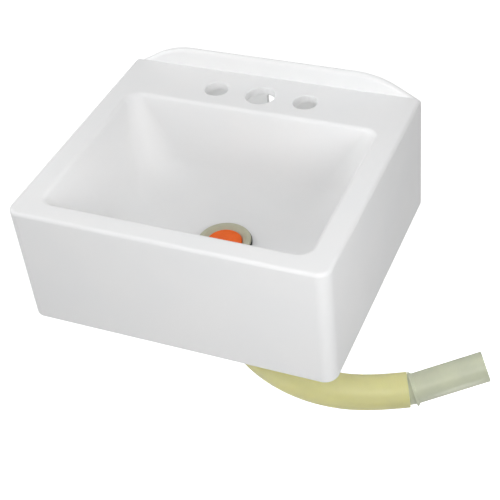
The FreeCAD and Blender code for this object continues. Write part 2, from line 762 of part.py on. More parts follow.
def hose_path(points):
    """Straight runs joined by tangent arcs, each as large as its shorter run allows."""
    edges, radii, start = [], [], points[0]
    for before, corner, after in zip(points, points[1:], points[2:]):
        back, ahead = before - corner, after - corner
        reach = ARC_SHARE * min(back.Length, ahead.Length)
        back.normalize()
        ahead.normalize()
        half_turn = (math.pi - back.getAngle(ahead)) / 2
        radius = reach / math.tan(half_turn)
        first, last = corner + back * reach, corner + ahead * reach
        inward = back + ahead
        inward.normalize()
        middle = corner + inward * (radius / math.cos(half_turn) - radius)
        edges.append(Part.LineSegment(start, first).toShape())
        edges.append(Part.Arc(first, middle, last).toShape())
        radii.append(round(radius, 1))
        start = last
    edges.append(Part.LineSegment(start, points[-1]).toShape())
    print("hose bend radii", radii)
    return Part.Wire(edges)


def hose_bar(name, path, diameter):
    """A full round bar along the hose's path."""
    section = doc.addObject("Part::Circle", name + "_section")
    bind(section, Radius=f"({diameter}) / 2")
    place(section, y="drain_y", z="hose_top")
    bar = doc.addObject("Part::Sweep", name)
    bar.Sections = [section]
    bar.Spine = (path, [f"Edge{i}" for i in range(1, len(path.Shape.Edges) + 1)])
    bar.Solid = True
    return bar


def drain_hose():
    """The hose from its clamp to its far end, with the tube pushed into that end."""
    points = hose_points()
    path = doc.addObject("Part::Feature", "hose_path")
    path.Shape = hose_path(points)
    hose = cut("drain_hose", hose_bar("hose_outside", path, "hose_diameter"),
               hose_bar("hose_inside", path, "hose_bore"))
    node(hose, "drain_hose")
    doc.recompute()
    length = path.Shape.Length
    section = math.pi / 4 * (size("hose_diameter") ** 2 - size("hose_bore") ** 2)
    print("hose length", round(length, 1), "volume ratio", round(hose.Shape.Volume / (section * length), 4))
    hose_connector(points[-1], points[-1] - points[-2])


def hose_connector(end, along):
    """A spigot inside the hose, a stop against its end, and a collared tube that turns upwards."""
    along.normalize()
    heading, rise = math.radians(size("end_tube_heading")), math.radians(size("end_tube_rise"))
    level = Vector(math.cos(heading), math.sin(heading), 0)
    outward = level * math.cos(rise) + Vector(0, 0, math.sin(rise))
    straight = Rotation(Vector(0, 0, 1), along)
    tilted = Rotation(Vector(0, 0, 1), outward)
    inner_end = end - along * size("spigot_length")
    elbow = end + along * size("neck_length")
    inner_length = "spigot_length + neck_length"

    def length(name, diameter, reach, start, turn):
        item = doc.addObject("Part::Cylinder", name)
        bind(item, Radius=f"{diameter} / 2", Height=reach)
        item.Placement = FreeCAD.Placement(start, turn)
        return item

    slope = doc.addObject("Part::Cone", "connector_collar_slope")
    bind(slope, Radius1="collar_diameter / 2", Radius2="tail_diameter / 2", Height="collar_slope")
    slope.Placement = FreeCAD.Placement(elbow + outward * size("collar_rim"), tilted)
    outside = join("connector_outside", [
        length("connector_spigot", "tail_diameter", inner_length, inner_end, straight),
        length("connector_stop", "stop_diameter", "stop_length", end, straight),
        length("connector_collar", "collar_diameter", "collar_rim", elbow, tilted),
        length("connector_tube", "tail_diameter", "end_tube_length", elbow, tilted),
        slope,
    ])
    elbow_ball = doc.addObject("Part::Sphere", "connector_elbow")
    bind(elbow_ball, Radius="end_tube_bore / 2")
    elbow_ball.Placement = FreeCAD.Placement(elbow, Rotation())
    inside = join("connector_inside", [
        length("spigot_bore", "end_tube_bore", inner_length, inner_end, straight),
        length("tube_bore", "end_tube_bore", "end_tube_length", elbow, tilted),
        elbow_ball,
    ])
    node(cut("hose_connector", outside, inside), "hose_connector")
    tip = elbow + outward * size("end_tube_length")
    print("outlet", [round(c, 2) for c in tip], "pointing", [round(c, 4) for c in outward])


def check_and_write():
    """Checks every object, then writes each piece to its own file."""
    doc.recompute()
    for item in doc.Objects:
        if "Invalid" in item.State or "Error" in item.State:
            raise RuntimeError(f"{item.Label} failed: {item.State}")
    for item in nodes:
        if item.Shape.isNull() or not item.Shape.isValid() or not item.Shape.Solids:
            raise RuntimeError(f"{item.Label} has no valid solid")
    os.makedirs("parts", exist_ok=True)
    for item in nodes:
        item.Shape.exportStep(f"parts/{item.Label}.step")
        print(item.Label, len(item.Shape.Solids), "solid(s)", round(item.Shape.Volume), "mm3")


fill_sheet()
basin()
wall_plate()
bracket("bracket_left", -1)
bracket("bracket_right", 1)
plate_fasteners()
deck_fasteners()
waste()
under_bowl()
clamp()
drain_hose()
check_and_write()
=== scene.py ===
"""A wall-mounted bathroom sink dressed on its frame: basin, wall panel, fastenings, waste and drain hose."""
import math

import bmesh
import bpy
import numpy as np
from mathutils import Matrix, Quaternion, Vector

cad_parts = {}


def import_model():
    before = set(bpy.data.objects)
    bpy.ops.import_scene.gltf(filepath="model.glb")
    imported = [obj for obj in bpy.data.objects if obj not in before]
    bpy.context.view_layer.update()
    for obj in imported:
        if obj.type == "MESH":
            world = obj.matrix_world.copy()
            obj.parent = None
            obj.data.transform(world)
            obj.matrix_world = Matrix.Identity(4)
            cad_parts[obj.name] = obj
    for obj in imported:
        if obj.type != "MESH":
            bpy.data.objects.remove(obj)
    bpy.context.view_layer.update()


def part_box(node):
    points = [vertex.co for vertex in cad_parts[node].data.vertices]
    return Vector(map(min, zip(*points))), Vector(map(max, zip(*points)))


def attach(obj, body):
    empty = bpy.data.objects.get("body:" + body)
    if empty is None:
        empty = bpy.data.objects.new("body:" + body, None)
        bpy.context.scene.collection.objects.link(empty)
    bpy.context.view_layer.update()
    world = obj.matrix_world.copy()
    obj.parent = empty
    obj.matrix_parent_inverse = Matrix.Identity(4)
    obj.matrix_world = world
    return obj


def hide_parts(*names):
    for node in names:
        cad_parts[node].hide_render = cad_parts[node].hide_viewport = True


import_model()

# Shapes are worked out in millimetres and put into meshes in metres
MM = 0.001

# The viewpoint: where the camera stands, the point it looks at, its roll and its lens on a 36 mm sensor
EYE = Vector((0.4553, -1.0004, 0.6866))
LOOK_AT = Vector((0.0245, -0.1560, -0.1155))
ROLL = math.radians(-6.84)
LENS = 85.08
SENSOR = 36

# How finely arcs are divided: a casting's corner, a small edge, a full turn, a fastener's turn and a bevel
CORNER_STEPS = 17
EDGE_STEPS = 5
TURN_STEPS = 96
SMALL_TURN_STEPS = 48
BEVEL_SEGMENTS = 3
# Points closer than this are one point, and edges sharper than this stay sharp
SAME_POINT = 1e-6
SHARP = math.radians(35)
# How far a cutter runs past what it cuts
PAST = 1


def span(node):
    """The lowest and highest corner of a frame node, in millimetres."""
    low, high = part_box(node)
    return np.array(low) / MM, np.array(high) / MM


def unit(vector):
    """The same direction at length one."""
    return vector / np.linalg.norm(vector)


# Places read from the frame
basin_low, basin_high = span("basin")
plate_low, plate_high = span("wall_plate")
waste_low, waste_high = span("waste_body")
HALF_WIDTH, BACK, RIM = basin_high
FRONT, FOOT = basin_low[1], basin_low[2]
DRAIN = np.array([0, (waste_low[1] + waste_high[1]) / 2, 0])
UP = np.array([0, 0, 1.0])
TO_ROOM = np.array([0, -1.0, 0])
TO_WALL = np.array([0, 1.0, 0])
TO_RIGHT = np.array([1.0, 0, 0])


# Mesh helpers

def link(name, data):
    """A new object with the given data, placed in the scene."""
    item = bpy.data.objects.new(name, data)
    bpy.context.scene.collection.objects.link(item)
    return item


def grid_faces(rings, steps, close_rings, close_steps):
    """Quads between neighbours on a grid of rings by steps, as rows of four point numbers."""
    ring = np.arange(rings if close_rings else rings - 1)
    step = np.arange(steps if close_steps else steps - 1)
    a, b = np.meshgrid(ring, step, indexing="ij")
    next_a, next_b = (a + 1) % rings, (b + 1) % steps
    corners = [a * steps + b, a * steps + next_b, next_a * steps + next_b, next_a * steps + b]
    return np.stack(corners, -1).reshape(-1, 4)


def solid(name, grids, closed=True, capped=False):
    """An object from grids of points [ring, step, xyz] whose rings close on themselves.

    A closed grid's last ring joins its first; a capped one gets a flat face on its first and last ring.
    Points that fall together, as at a pole, are merged, and the faces are turned outwards.
    """
    points, faces, count = [], [], 0
    for grid in grids:
        rings, steps = grid.shape[:2]
        faces += (grid_faces(rings, steps, closed, True) + count).tolist()
        if capped:
            faces.append((np.arange(steps) + count).tolist())
            faces.append((np.arange(steps) + count + (rings - 1) * steps).tolist())
        points.append(grid.reshape(-1, 3))
        count += rings * steps
    mesh = bpy.data.meshes.new(name)
    mesh.from_pydata(np.concatenate(points) * MM, [], faces)
    tidy(mesh)
    return link(name, mesh)


def tidy(mesh):
    """Merges points that fall together, drops faces with no area and turns the rest outwards."""
    shape = bmesh.new()
    shape.from_mesh(mesh)
    bmesh.ops.remove_doubles(shape, verts=shape.verts, dist=SAME_POINT)
    bmesh.ops.dissolve_degenerate(shape, edges=shape.edges, dist=SAME_POINT)
    bmesh.ops.recalc_face_normals(shape, faces=shape.faces)
    shape.to_mesh(mesh)
    shape.free()


def combine(base, tools, operation):
    """The base with the tools cut from it or joined to it, kept as its own mesh; the tools are removed."""
    for tool in tools:
        change = base.modifiers.new("combine", "BOOLEAN")
        change.solver = "EXACT"
        change.operation = operation
        change.object = tool
    depsgraph = bpy.context.evaluated_depsgraph_get()
    mesh = bpy.data.meshes.new_from_object(base.evaluated_get(depsgraph))
    base.modifiers.clear()
    base.data = mesh
    tidy(mesh)
    for tool in tools:
        bpy.data.objects.remove(tool)
    return base


def finish(item, material, body, slot, *nodes, bevel=0.0):
    """Smooth shading with sharp edges kept, an optional small bevel, a finish, and the piece's place."""
    item.data.shade_smooth()
    item.data.set_sharp_from_angle(angle=SHARP)
    if bevel:
        edge = item.modifiers.new("soft edges", "BEVEL")
        edge.width = bevel * MM
        edge.segments = BEVEL_SEGMENTS
        edge.limit_method = "ANGLE"
        edge.angle_limit = SHARP
    normals = item.modifiers.new("even normals", "WEIGHTED_NORMAL")
    normals.keep_sharp = True
    item.data.materials.clear()
    item.data.materials.append(material)
    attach(item, body)
    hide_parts(*nodes)
    return item


def rounded(corners, steps=EDGE_STEPS, closed=True):
    """A line through corners (across, up, rounding), each rounded by an arc tangent to its two sides.

    The arc's centre lies on the corner's bisector at rounding / sin(half the corner's angle), and its
    points are centre + rounding * (cos, sin) at equal angles. A corner with no rounding stays a point.
    """
    corners = np.array(corners, float)
    spots, roundings = corners[:, :2], corners[:, 2]
    line = []
    for i, (spot, rounding) in enumerate(zip(spots, roundings)):
        if rounding == 0 or (not closed and i in (0, len(spots) - 1)):
            line.append(spot[None])
            continue
        before = unit(spots[i - 1] - spot)
        after = unit(spots[(i + 1) % len(spots)] - spot)
        half = math.acos(before @ after) / 2
        centre = spot + unit(before + after) * rounding / math.sin(half)
        reach = rounding / math.tan(half)
        first = math.atan2(*(spot + before * reach - centre)[::-1])
        last = math.atan2(*(spot + after * reach - centre)[::-1])
        sweep = (last - first + math.pi) % (2 * math.pi) - math.pi
        angle = first + sweep * np.linspace(0, 1, steps)
        line.append(centre + rounding * np.stack([np.cos(angle), np.sin(angle)], -1))
    return np.concatenate(line)


def rectangle(left, right, low, high, rounding=0.0):
    """A rectangle's four corners (across, up, rounding), from the lower left one round."""
    return [(left, low, rounding), (right, low, rounding), (right, high, rounding), (left, high, rounding)]


def around(direction):
    """Two unit vectors square to a direction and to each other; the first is level where it can be."""
    level = np.cross(UP, direction)
    if np.linalg.norm(level) < SAME_POINT:
        level = TO_RIGHT
    side = unit(level)
    return side, np.cross(direction, side)


def turn_angles(steps):
    """Equal angles round one turn, the last one short of the first."""
    return np.linspace(0, 2 * math.pi, steps, endpoint=False)


def turned(radius, height, centre, direction=UP, steps=TURN_STEPS):
    """A surface of revolution: point = centre + radius * (cos * side + sin * other) + height * direction.

    The radius is one number for each ring, or one for each ring and step where the outline isn't round.
    """
    radius = np.asarray(radius, float)
    radius = radius[:, None] if radius.ndim == 1 else radius
    angle = turn_angles(steps)
    side, other = around(direction)
    spokes = np.cos(angle)[:, None] * side + np.sin(angle)[:, None] * other
    return centre + radius[..., None] * spokes + np.asarray(height)[:, None, None] * direction


def turned_profile(corners, centre=DRAIN, direction=UP, steps=TURN_STEPS, closed=True):
    """A rounded profile of radius and height, turned about an axis."""
    line = rounded(corners, closed=closed)
    return turned(line[:, 0], line[:, 1], centre, direction, steps)


def hexagon(across_flats, steps):
    """A hexagon's radius at each angle: half the width across flats / cos(angle from the nearest flat)."""
    from_flat = turn_angles(steps) % (math.pi / 3) - math.pi / 6
    return across_flats / 2 / np.cos(from_flat)


def prism(name, outline, low, high, across=TO_RIGHT, up=UP, along=TO_ROOM):
    """An outline in two directions, carried from low to high along a third and capped at both ends."""
    flat = outline[:, :1] * across + outline[:, 1:] * up
    return solid(name, [np.stack([flat + low * along, flat + high * along])], closed=False, capped=True)


def drill(radii, heights, centre, direction, steps=SMALL_TURN_STEPS):
    """A round cutter with the given radius at each height, closed by a pole at both ends."""
    grid = turned([0, *radii, 0], [heights[0], *heights, heights[-1]], centre, direction, steps)
    return solid("drill", [grid], closed=False)


# Stage: camera, floor and light

def facing(place, aim):
    """The turn of a camera or lamp at a place that looks at a point, with its top upwards."""
    return (Vector(aim) - Vector(place)).to_track_quat("-Z", "Y")


def camera():
    """The photograph's viewpoint, rolled about the line of sight."""
    data = bpy.data.cameras.new("camera")
    data.lens = LENS
    data.sensor_width = SENSOR
    item = link("camera", data)
    roll = Quaternion((0, 0, 1), ROLL)
    item.matrix_world = Matrix.LocRotScale(EYE, facing(EYE, LOOK_AT) @ roll, None)
    bpy.context.scene.camera = item


# The share of the white surround that shows in reflections
MIRRORED = 0.6


def seen_directly(nodes, links):
    """A value: 1 on rays from the camera and through glass, a share on mirrored ones, 0 on lighting ones."""
    path = nodes.new("ShaderNodeLightPath")
    mirrored = nodes.new("ShaderNodeMath")
    mirrored.operation = "MULTIPLY"
    mirrored.inputs[1].default_value = MIRRORED
    links.new(path.outputs["Is Glossy Ray"], mirrored.inputs[0])
    value = mirrored.outputs[0]
    for ray in ("Is Camera Ray", "Is Transmission Ray"):
        either = nodes.new("ShaderNodeMath")
        either.operation = "MAXIMUM"
        links.new(value, either.inputs[0])
        links.new(path.outputs[ray], either.inputs[1])
        value = either.outputs[0]
    return value


FLOOR_DROP = 0.62
FLOOR_SIZE = 12
FLOOR_COLOUR = (0.8, 0.8, 0.8, 1)
FLOOR_GLOW = 0.85


def floor():
    """A wide pale floor below the sink: white from above, where it takes the shadow, and clear from below."""
    half = FLOOR_SIZE / 2
    level = FOOT * MM - FLOOR_DROP
    corners = [(-half, -half, level), (half, -half, level), (half, half, level), (-half, half, level)]
    mesh = bpy.data.meshes.new("floor")
    mesh.from_pydata(corners, [], [(0, 1, 2, 3)])
    item = link("floor", mesh)
    material = bpy.data.materials.new("pale floor")
    material.use_nodes = True
    nodes, links = material.node_tree.nodes, material.node_tree.links
    nodes.clear()
    matt = nodes.new("ShaderNodeBsdfDiffuse")
    matt.inputs["Color"].default_value = FLOOR_COLOUR
    glow = nodes.new("ShaderNodeEmission")
    strength = nodes.new("ShaderNodeMath")
    strength.operation = "MULTIPLY"
    strength.inputs[1].default_value = FLOOR_GLOW
    links.new(seen_directly(nodes, links), strength.inputs[0])
    links.new(strength.outputs[0], glow.inputs["Strength"])
    both = nodes.new("ShaderNodeAddShader")
    links.new(matt.outputs[0], both.inputs[0])
    links.new(glow.outputs[0], both.inputs[1])
    side = nodes.new("ShaderNodeNewGeometry")
    clear = nodes.new("ShaderNodeBsdfTransparent")
    from_below = nodes.new("ShaderNodeMixShader")
    links.new(side.outputs["Backfacing"], from_below.inputs[0])
    links.new(both.outputs[0], from_below.inputs[1])
    links.new(clear.outputs[0], from_below.inputs[2])
    output = nodes.new("ShaderNodeOutputMaterial")
    links.new(from_below.outputs[0], output.inputs["Surface"])
    mesh.materials.append(material)


SKY_LIGHT = 0.31


def world():
    """An even white surround: white where it is seen, softer where it lights the sink."""
    surround = bpy.data.worlds.new("surround")
    bpy.context.scene.world = surround
    surround.use_nodes = True
    nodes, links = surround.node_tree.nodes, surround.node_tree.links
    background = nodes["Background"]
    background.inputs["Color"].default_value = (1, 1, 1, 1)
    strength = nodes.new("ShaderNodeMapRange")
    strength.inputs["To Min"].default_value = SKY_LIGHT
    strength.inputs["To Max"].default_value = 1
    links.new(seen_directly(nodes, links), strength.inputs["Value"])
    links.new(strength.outputs["Result"], background.inputs["Strength"])


def lamp(name, place, aim, size, power, spread=180):
    """A square soft light that faces a point; a narrow spread, in degrees, lights only what it points at."""
    data = bpy.data.lights.new(name, "AREA")
    data.shape = "SQUARE"
    data.size = size
    data.energy = power
    data.spread = math.radians(spread)
    item = link(name, data)
    item.location = place
    item.rotation_euler = facing(place, aim).to_euler()
    item.visible_camera = False


def lights():
    """Soft light on the whole sink from the front, both sides, behind and above, then lamps on small places.

    The narrow ones light what the sink shades by itself: the bowl's back right and front left corners, the
    space under the deck, the tube and the hose.
    """
    middle = (0, -0.15, -0.05)
    lamp("key light", (0.6, -1.0, 0.9), middle, size=0.7, power=3.85)
    lamp("right light", (0.65, -0.6, 0.3), middle, size=0.35, power=2.45)
    lamp("left light", (-1.4, -0.4, 0.5), middle, size=0.9, power=8.0)
    lamp("back light", (0.1, 0.7, 1.2), middle, size=0.9, power=3.55)
    lamp("front light", (0.05, -0.85, 0.12), middle, size=0.35, power=0.9)
    lamp("deck light", (-0.4, -0.2, 0.6), middle, size=0.4, power=0.75)
    lamp("bowl light", (-0.5, -0.55, 0.45), (0.125, -0.11, -0.04), size=0.1, power=0.0046, spread=14)
    lamp("corner light", (0.65, 0.05, 0.45), (-0.135, -0.24, -0.03), size=0.1, power=0.005, spread=12)
    lamp("under light", (-0.15, -0.16, -0.65), (-0.02, -0.01, -0.03), size=0.1, power=0.047, spread=22)
    lamp("tube light", (0.6, 0.05, 0.45), (0.22, -0.08, -0.335), size=0.1, power=0.033, spread=20)
    lamp("low tube light", (0.4, -0.25, -0.65), (0.235, -0.075, -0.34), size=0.06, power=0.0042, spread=18)
    lamp("hose light", (0.25, -0.85, -0.45), (0.02, -0.14, -0.33), size=0.15, power=0.022, spread=24)


# Finishes: node groups that several finishes share, then one function for each finish

def new_group(name, inputs, output, output_type):
    """An empty node group with named inputs (name, type, default) and one named output."""
    group = bpy.data.node_groups.new(name, "ShaderNodeTree")
    for label, kind, value in inputs:
        socket = group.interface.new_socket(name=label, in_out="INPUT", socket_type=kind)
        socket.default_value = value
    group.interface.new_socket(name=output, in_out="OUTPUT", socket_type=output_type)
    nodes = group.nodes
    return group, nodes, group.links, nodes.new("NodeGroupInput"), nodes.new("NodeGroupOutput")


FLOAT, COLOUR = "NodeSocketFloat", "NodeSocketColor"
GREY = (0.5, 0.5, 0.5, 1)


def noise(nodes, links, scale, detail=4.0, stretch=(1, 1, 1)):
    """Noise on Object coordinates, stretched along the axes; the scale comes from a socket."""
    place = nodes.new("ShaderNodeTexCoord")
    shape = nodes.new("ShaderNodeMapping")
    shape.inputs["Scale"].default_value = stretch
    links.new(place.outputs["Object"], shape.inputs["Vector"])
    texture = nodes.new("ShaderNodeTexNoise")
    texture.inputs["Detail"].default_value = detail
    links.new(shape.outputs["Vector"], texture.inputs["Vector"])
    links.new(scale, texture.inputs["Scale"])
    return texture.outputs["Fac"]


def ranged(nodes, links, value, low, high, to_low=0.0, to_high=1.0):
    """A value brought from one range to another; the new range's ends may be sockets."""
    node = nodes.new("ShaderNodeMapRange")
    node.inputs["From Min"].default_value = low
    node.inputs["From Max"].default_value = high
    links.new(value, node.inputs["Value"])
    for name, end in (("To Min", to_low), ("To Max", to_high)):
        if isinstance(end, (int, float)):
            node.inputs[name].default_value = end
        else:
            links.new(end, node.inputs[name])
    return node.outputs["Result"]


def tone_drift_group():
    """A base colour that drifts towards another in soft clouds, by an amount."""
    group, nodes, links, given, out = new_group("tone drift", [
        ("Base", COLOUR, GREY), ("Drift", COLOUR, GREY), ("Scale", FLOAT, 20), ("Amount", FLOAT, 1),
    ], "Color", COLOUR)
    cloud = noise(nodes, links, given.outputs["Scale"])
    share = ranged(nodes, links, cloud, low=0.35, high=0.65, to_high=given.outputs["Amount"])
    mix = nodes.new("ShaderNodeMix")
    mix.data_type = "RGBA"
    links.new(share, mix.inputs["Factor"])
    links.new(given.outputs["Base"], mix.inputs["A"])
    links.new(given.outputs["Drift"], mix.inputs["B"])
    links.new(mix.outputs["Result"], out.inputs["Color"])
    return group


def sheen_drift_group():
    """A roughness that wanders between two values."""
    group, nodes, links, given, out = new_group("sheen drift", [
        ("Low", FLOAT, 0.3), ("High", FLOAT, 0.4), ("Scale", FLOAT, 40),
    ], "Roughness", FLOAT)
    cloud = noise(nodes, links, given.outputs["Scale"], detail=6.0)
    rough = ranged(nodes, links, cloud, low=0.3, high=0.7,
                   to_low=given.outputs["Low"], to_high=given.outputs["High"])
    links.new(rough, out.inputs["Roughness"])
    return group


GRAIN_FINENESS = 12


def fine_relief_group():
    """A height for bump: broad ripples plus much finer grain."""
    group, nodes, links, given, out = new_group("fine relief", [
        ("Scale", FLOAT, 80), ("Grain", FLOAT, 0.3),
    ], "Height", FLOAT)
    finer = nodes.new("ShaderNodeMath")
    finer.operation = "MULTIPLY"
    finer.inputs[1].default_value = GRAIN_FINENESS
    links.new(given.outputs["Scale"], finer.inputs[0])
    total = nodes.new("ShaderNodeMath")
    total.operation = "MULTIPLY_ADD"
    links.new(noise(nodes, links, finer.outputs[0], detail=2.0), total.inputs[0])
    links.new(given.outputs["Grain"], total.inputs[1])
    links.new(noise(nodes, links, given.outputs["Scale"], detail=2.0), total.inputs[2])
    links.new(total.outputs[0], out.inputs["Height"])
    return group


def scuff_group():
    """A mask of thin streaks: noise drawn out along one axis, of which only the peaks are kept."""
    group, nodes, links, given, out = new_group("scuffs", [
        ("Scale", FLOAT, 60), ("Share", FLOAT, 1),
    ], "Mask", FLOAT)
    streaks = noise(nodes, links, given.outputs["Scale"], detail=8.0, stretch=(0.08, 1, 1))
    kept = ranged(nodes, links, streaks, low=0.56, high=0.68, to_high=given.outputs["Share"])
    links.new(kept, out.inputs["Mask"])
    return group


TONE_DRIFT = tone_drift_group()
SHEEN_DRIFT = sheen_drift_group()
FINE_RELIEF = fine_relief_group()
SCUFFS = scuff_group()


class Finish:
    """A material with one Principled shader, whose inputs are fed by the shared groups."""

    def __init__(self, name, **constants):
        self.material = bpy.data.materials.new(name)
        self.material.use_nodes = True
        self.nodes = self.material.node_tree.nodes
        self.links = self.material.node_tree.links
        self.shader = self.nodes["Principled BSDF"]
        for label, value in constants.items():
            socket = label.replace("_", " ").title().replace("Ior", "IOR")
            self.shader.inputs[socket].default_value = value

    def group(self, tree, **values):
        """The output of a shared group that is placed here with its own values."""
        node = self.nodes.new("ShaderNodeGroup")
        node.node_tree = tree
        for label, value in values.items():
            node.inputs[label].default_value = value
        return node.outputs[0]

    def colour(self, base, drift, scale, amount=1.0):
        """A base colour that drifts towards another."""
        tone = self.group(TONE_DRIFT, Base=(*base, 1), Drift=(*drift, 1), Scale=scale, Amount=amount)
        self.links.new(tone, self.shader.inputs["Base Color"])
        return tone

    def roughness(self, low, high, scale):
        """A sheen that wanders between two roughnesses."""
        self.links.new(self.group(SHEEN_DRIFT, Low=low, High=high, Scale=scale),
                       self.shader.inputs["Roughness"])

    def relief(self, scale, grain, strength, depth):
        """Fine bumps of a depth in millimetres."""
        bump = self.nodes.new("ShaderNodeBump")
        bump.inputs["Strength"].default_value = strength
        bump.inputs["Distance"].default_value = depth * MM
        self.links.new(self.group(FINE_RELIEF, Scale=scale, Grain=grain), bump.inputs["Height"])
        self.links.new(bump.outputs["Normal"], self.shader.inputs["Normal"])

    def scuffed(self, tone, worn, scale, share):
        """Streaks of a worn colour over the tone."""
        mix = self.nodes.new("ShaderNodeMix")
        mix.data_type = "RGBA"
        mix.inputs["B"].default_value = (*worn, 1)
        self.links.new(self.group(SCUFFS, Scale=scale, Share=share), mix.inputs["Factor"])
        self.links.new(tone, mix.inputs["A"])
        self.links.new(mix.outputs["Result"], self.shader.inputs["Base Color"])


def white_resin():
    """Cast white resin with a satin gel coat."""
    made = Finish("white resin", specular_ior_level=0.4)
    made.colour((0.82, 0.82, 0.82), drift=(0.805, 0.81, 0.815), scale=14)
    made.roughness(low=0.42, high=0.50, scale=30)
    made.relief(scale=45, grain=0.05, strength=0.12, depth=0.25)
    return made.material


def white_coat():
    """White powder coat on steel, with its faint orange peel."""
    made = Finish("white powder coat")
    made.colour((0.88, 0.88, 0.88), drift=(0.865, 0.87, 0.875), scale=18)
    made.roughness(low=0.36, high=0.46, scale=50)
    made.relief(scale=420, grain=0.2, strength=0.25, depth=0.12)
    return made.material


def zinc_plate():
    """Zinc plated steel: clouded, streaked and a little blue."""
    made = Finish("zinc plate", metallic=1.0)
    tone = made.colour((0.58, 0.60, 0.62), drift=(0.46, 0.48, 0.50), scale=70)
    made.scuffed(tone, worn=(0.74, 0.74, 0.73), scale=160, share=0.5)
    made.roughness(low=0.26, high=0.46, scale=120)
    made.relief(scale=300, grain=0.4, strength=0.2, depth=0.06)
    return made.material


def turned_brass():
    """Brass as it comes from the lathe."""
    made = Finish("turned brass", metallic=1.0)
    made.colour((0.62, 0.43, 0.16), drift=(0.50, 0.33, 0.11), scale=150)
    made.roughness(low=0.24, high=0.38, scale=200)
    made.relief(scale=500, grain=0.4, strength=0.2, depth=0.05)
    return made.material


def stainless():
    """Bright stainless strip with fine rolling streaks."""
    made = Finish("stainless strip", metallic=1.0)
    tone = made.colour((0.62, 0.62, 0.61), drift=(0.54, 0.54, 0.54), scale=90)
    made.scuffed(tone, worn=(0.78, 0.78, 0.78), scale=260, share=0.4)
    made.roughness(low=0.20, high=0.34, scale=160)
    made.relief(scale=600, grain=0.3, strength=0.15, depth=0.04)
    return made.material


def moulded_plastic(name, base, drift):
    """Moulded plastic with a satin skin."""
    made = Finish(name)
    made.colour(base, drift, scale=40)
    made.roughness(low=0.36, high=0.48, scale=90)
    made.relief(scale=160, grain=0.25, strength=0.2, depth=0.1)
    return made.material


def grey_green_plastic():
    """The plastic of the tube and of the pieces under the bowl."""
    return moulded_plastic("grey-green plastic", (0.520, 0.545, 0.395), (0.475, 0.500, 0.375))


def waste_plastic():
    """The waste's plastic, a little browner than the tube's."""
    return moulded_plastic("grey-brown plastic", (0.480, 0.470, 0.340), (0.440, 0.430, 0.320))


def orange_rubber():
    """The stopper's satin rubber."""
    made = Finish("orange rubber", specular_ior_level=0.25)
    made.colour((0.90, 0.140, 0.012), drift=(0.80, 0.120, 0.010), scale=60)
    made.roughness(low=0.42, high=0.56, scale=110)
    made.relief(scale=240, grain=0.35, strength=0.25, depth=0.1)
    return made.material


def black_rubber():
    """The matt rubber of the seals and gaskets."""
    made = Finish("black rubber")
    made.colour((0.012, 0.015, 0.012), drift=(0.022, 0.025, 0.021), scale=90)
    made.roughness(low=0.5, high=0.66, scale=130)
    made.relief(scale=300, grain=0.4, strength=0.3, depth=0.1)
    return made.material


def hose_vinyl():
    """Soft yellow vinyl that lets a little light through its wall."""
    made = Finish("hose vinyl", subsurface_weight=0.6, subsurface_scale=0.02,
                  subsurface_radius=(1.0, 0.9, 0.5))
    made.colour((0.850, 0.770, 0.300), drift=(0.810, 0.740, 0.300), scale=26)
    made.roughness(low=0.38, high=0.50, scale=60)
    made.relief(scale=70, grain=0.15, strength=0.2, depth=0.25)
    return made.material


# Places and sizes that the basin, the panel and the fasteners share

# Radii of screws, their holes and inserts, the gap round threads, and a fastener's step from a bracket's middle
SCREW_RADIUS = 3
SCREW_HOLE = 3.3
THREAD_GAP = 0.1
INSERT_RADIUS = 4.5
FASTENER_OFFSET = 12
bracket_low, bracket_high = span("bracket_right")
stud_low, stud_high = span("plate_studs")
screw_low, screw_high = span("deck_screws")
BRACKET_X = (bracket_low[0] + bracket_high[0]) / 2
STUD_Z = (stud_low[2] + stud_high[2]) / 2
STUD_HEAD_RADIUS = stud_high[2] - STUD_Z
SCREW_Y = (screw_low[1] + screw_high[1]) / 2
FASTENER_X = [side * BRACKET_X + step * FASTENER_OFFSET for side in (-1, 1) for step in (-1, 1)]
STUD_PLACES = [np.array([x, 0, STUD_Z]) for x in FASTENER_X]
SCREW_PLACES = [np.array([x, SCREW_Y, 0]) for x in FASTENER_X]
# Roundings of turned and moulded edges
CRISP, FINE, SOFT, EASED, FULL = 0.3, 0.4, 0.5, 0.6, 0.8


# Basin

# The casting's walls and roundings
SKIRT_WALL = 6
CORNER = 14
RIM_EDGE = 4
FOOT_EDGE = 2
DECK = RIM - bracket_high[2]
SKIRT_CORNER = 8
BACK_CORNER = 0.6
BACK_CUT = 4 * SKIRT_WALL
# The rim's width at the sides and in front and the tap deck's depth, then the bowl: how far each side stands
# from the drain's axis at its mouth, and how far it leans in from there to its knee
SIDE_RIM = 26
FRONT_RIM = 24
TAP_DECK = 65
MOUTH = {
    "side": HALF_WIDTH - SIDE_RIM,
    "back": BACK - TAP_DECK - DRAIN[1],
    "front": DRAIN[1] - FRONT - FRONT_RIM,
}
LEAN = {"side": 22, "back": 15, "front": 15}
# The reach of the drain's seat, the corners' roundings at mouth, knee and seat, how far knee and seat lie
# below the rim, the roundings of the lip and the knee, and the bowl's wall
SEAT = 31
BOWL_CORNERS = (14, 52, 30)
KNEE_FALL = 97
SEAT_FALL = 106
LIP = 5
KNEE_ROUND = 42
BOWL_WALL = 8
# Tap holes: (place across, radius), their distance from the wall and the rounding of their upper edges
TAP_HOLES = ((-50.8, 12.7), (0, 15.875), (50.8, 12.7))
TAP_Y = -41
TAP_EDGE = 1.2
# How the rings lie on the bowl's inside: over its lip, down its wall, round its knee and over its floor
LIP_RINGS = 8
LIP_TURN = math.radians(77)
WALL_RINGS = 5
KNEE_TOP = -50
KNEE_RINGS = 30
KNEE_END = -102
FLOOR_RINGS = 5
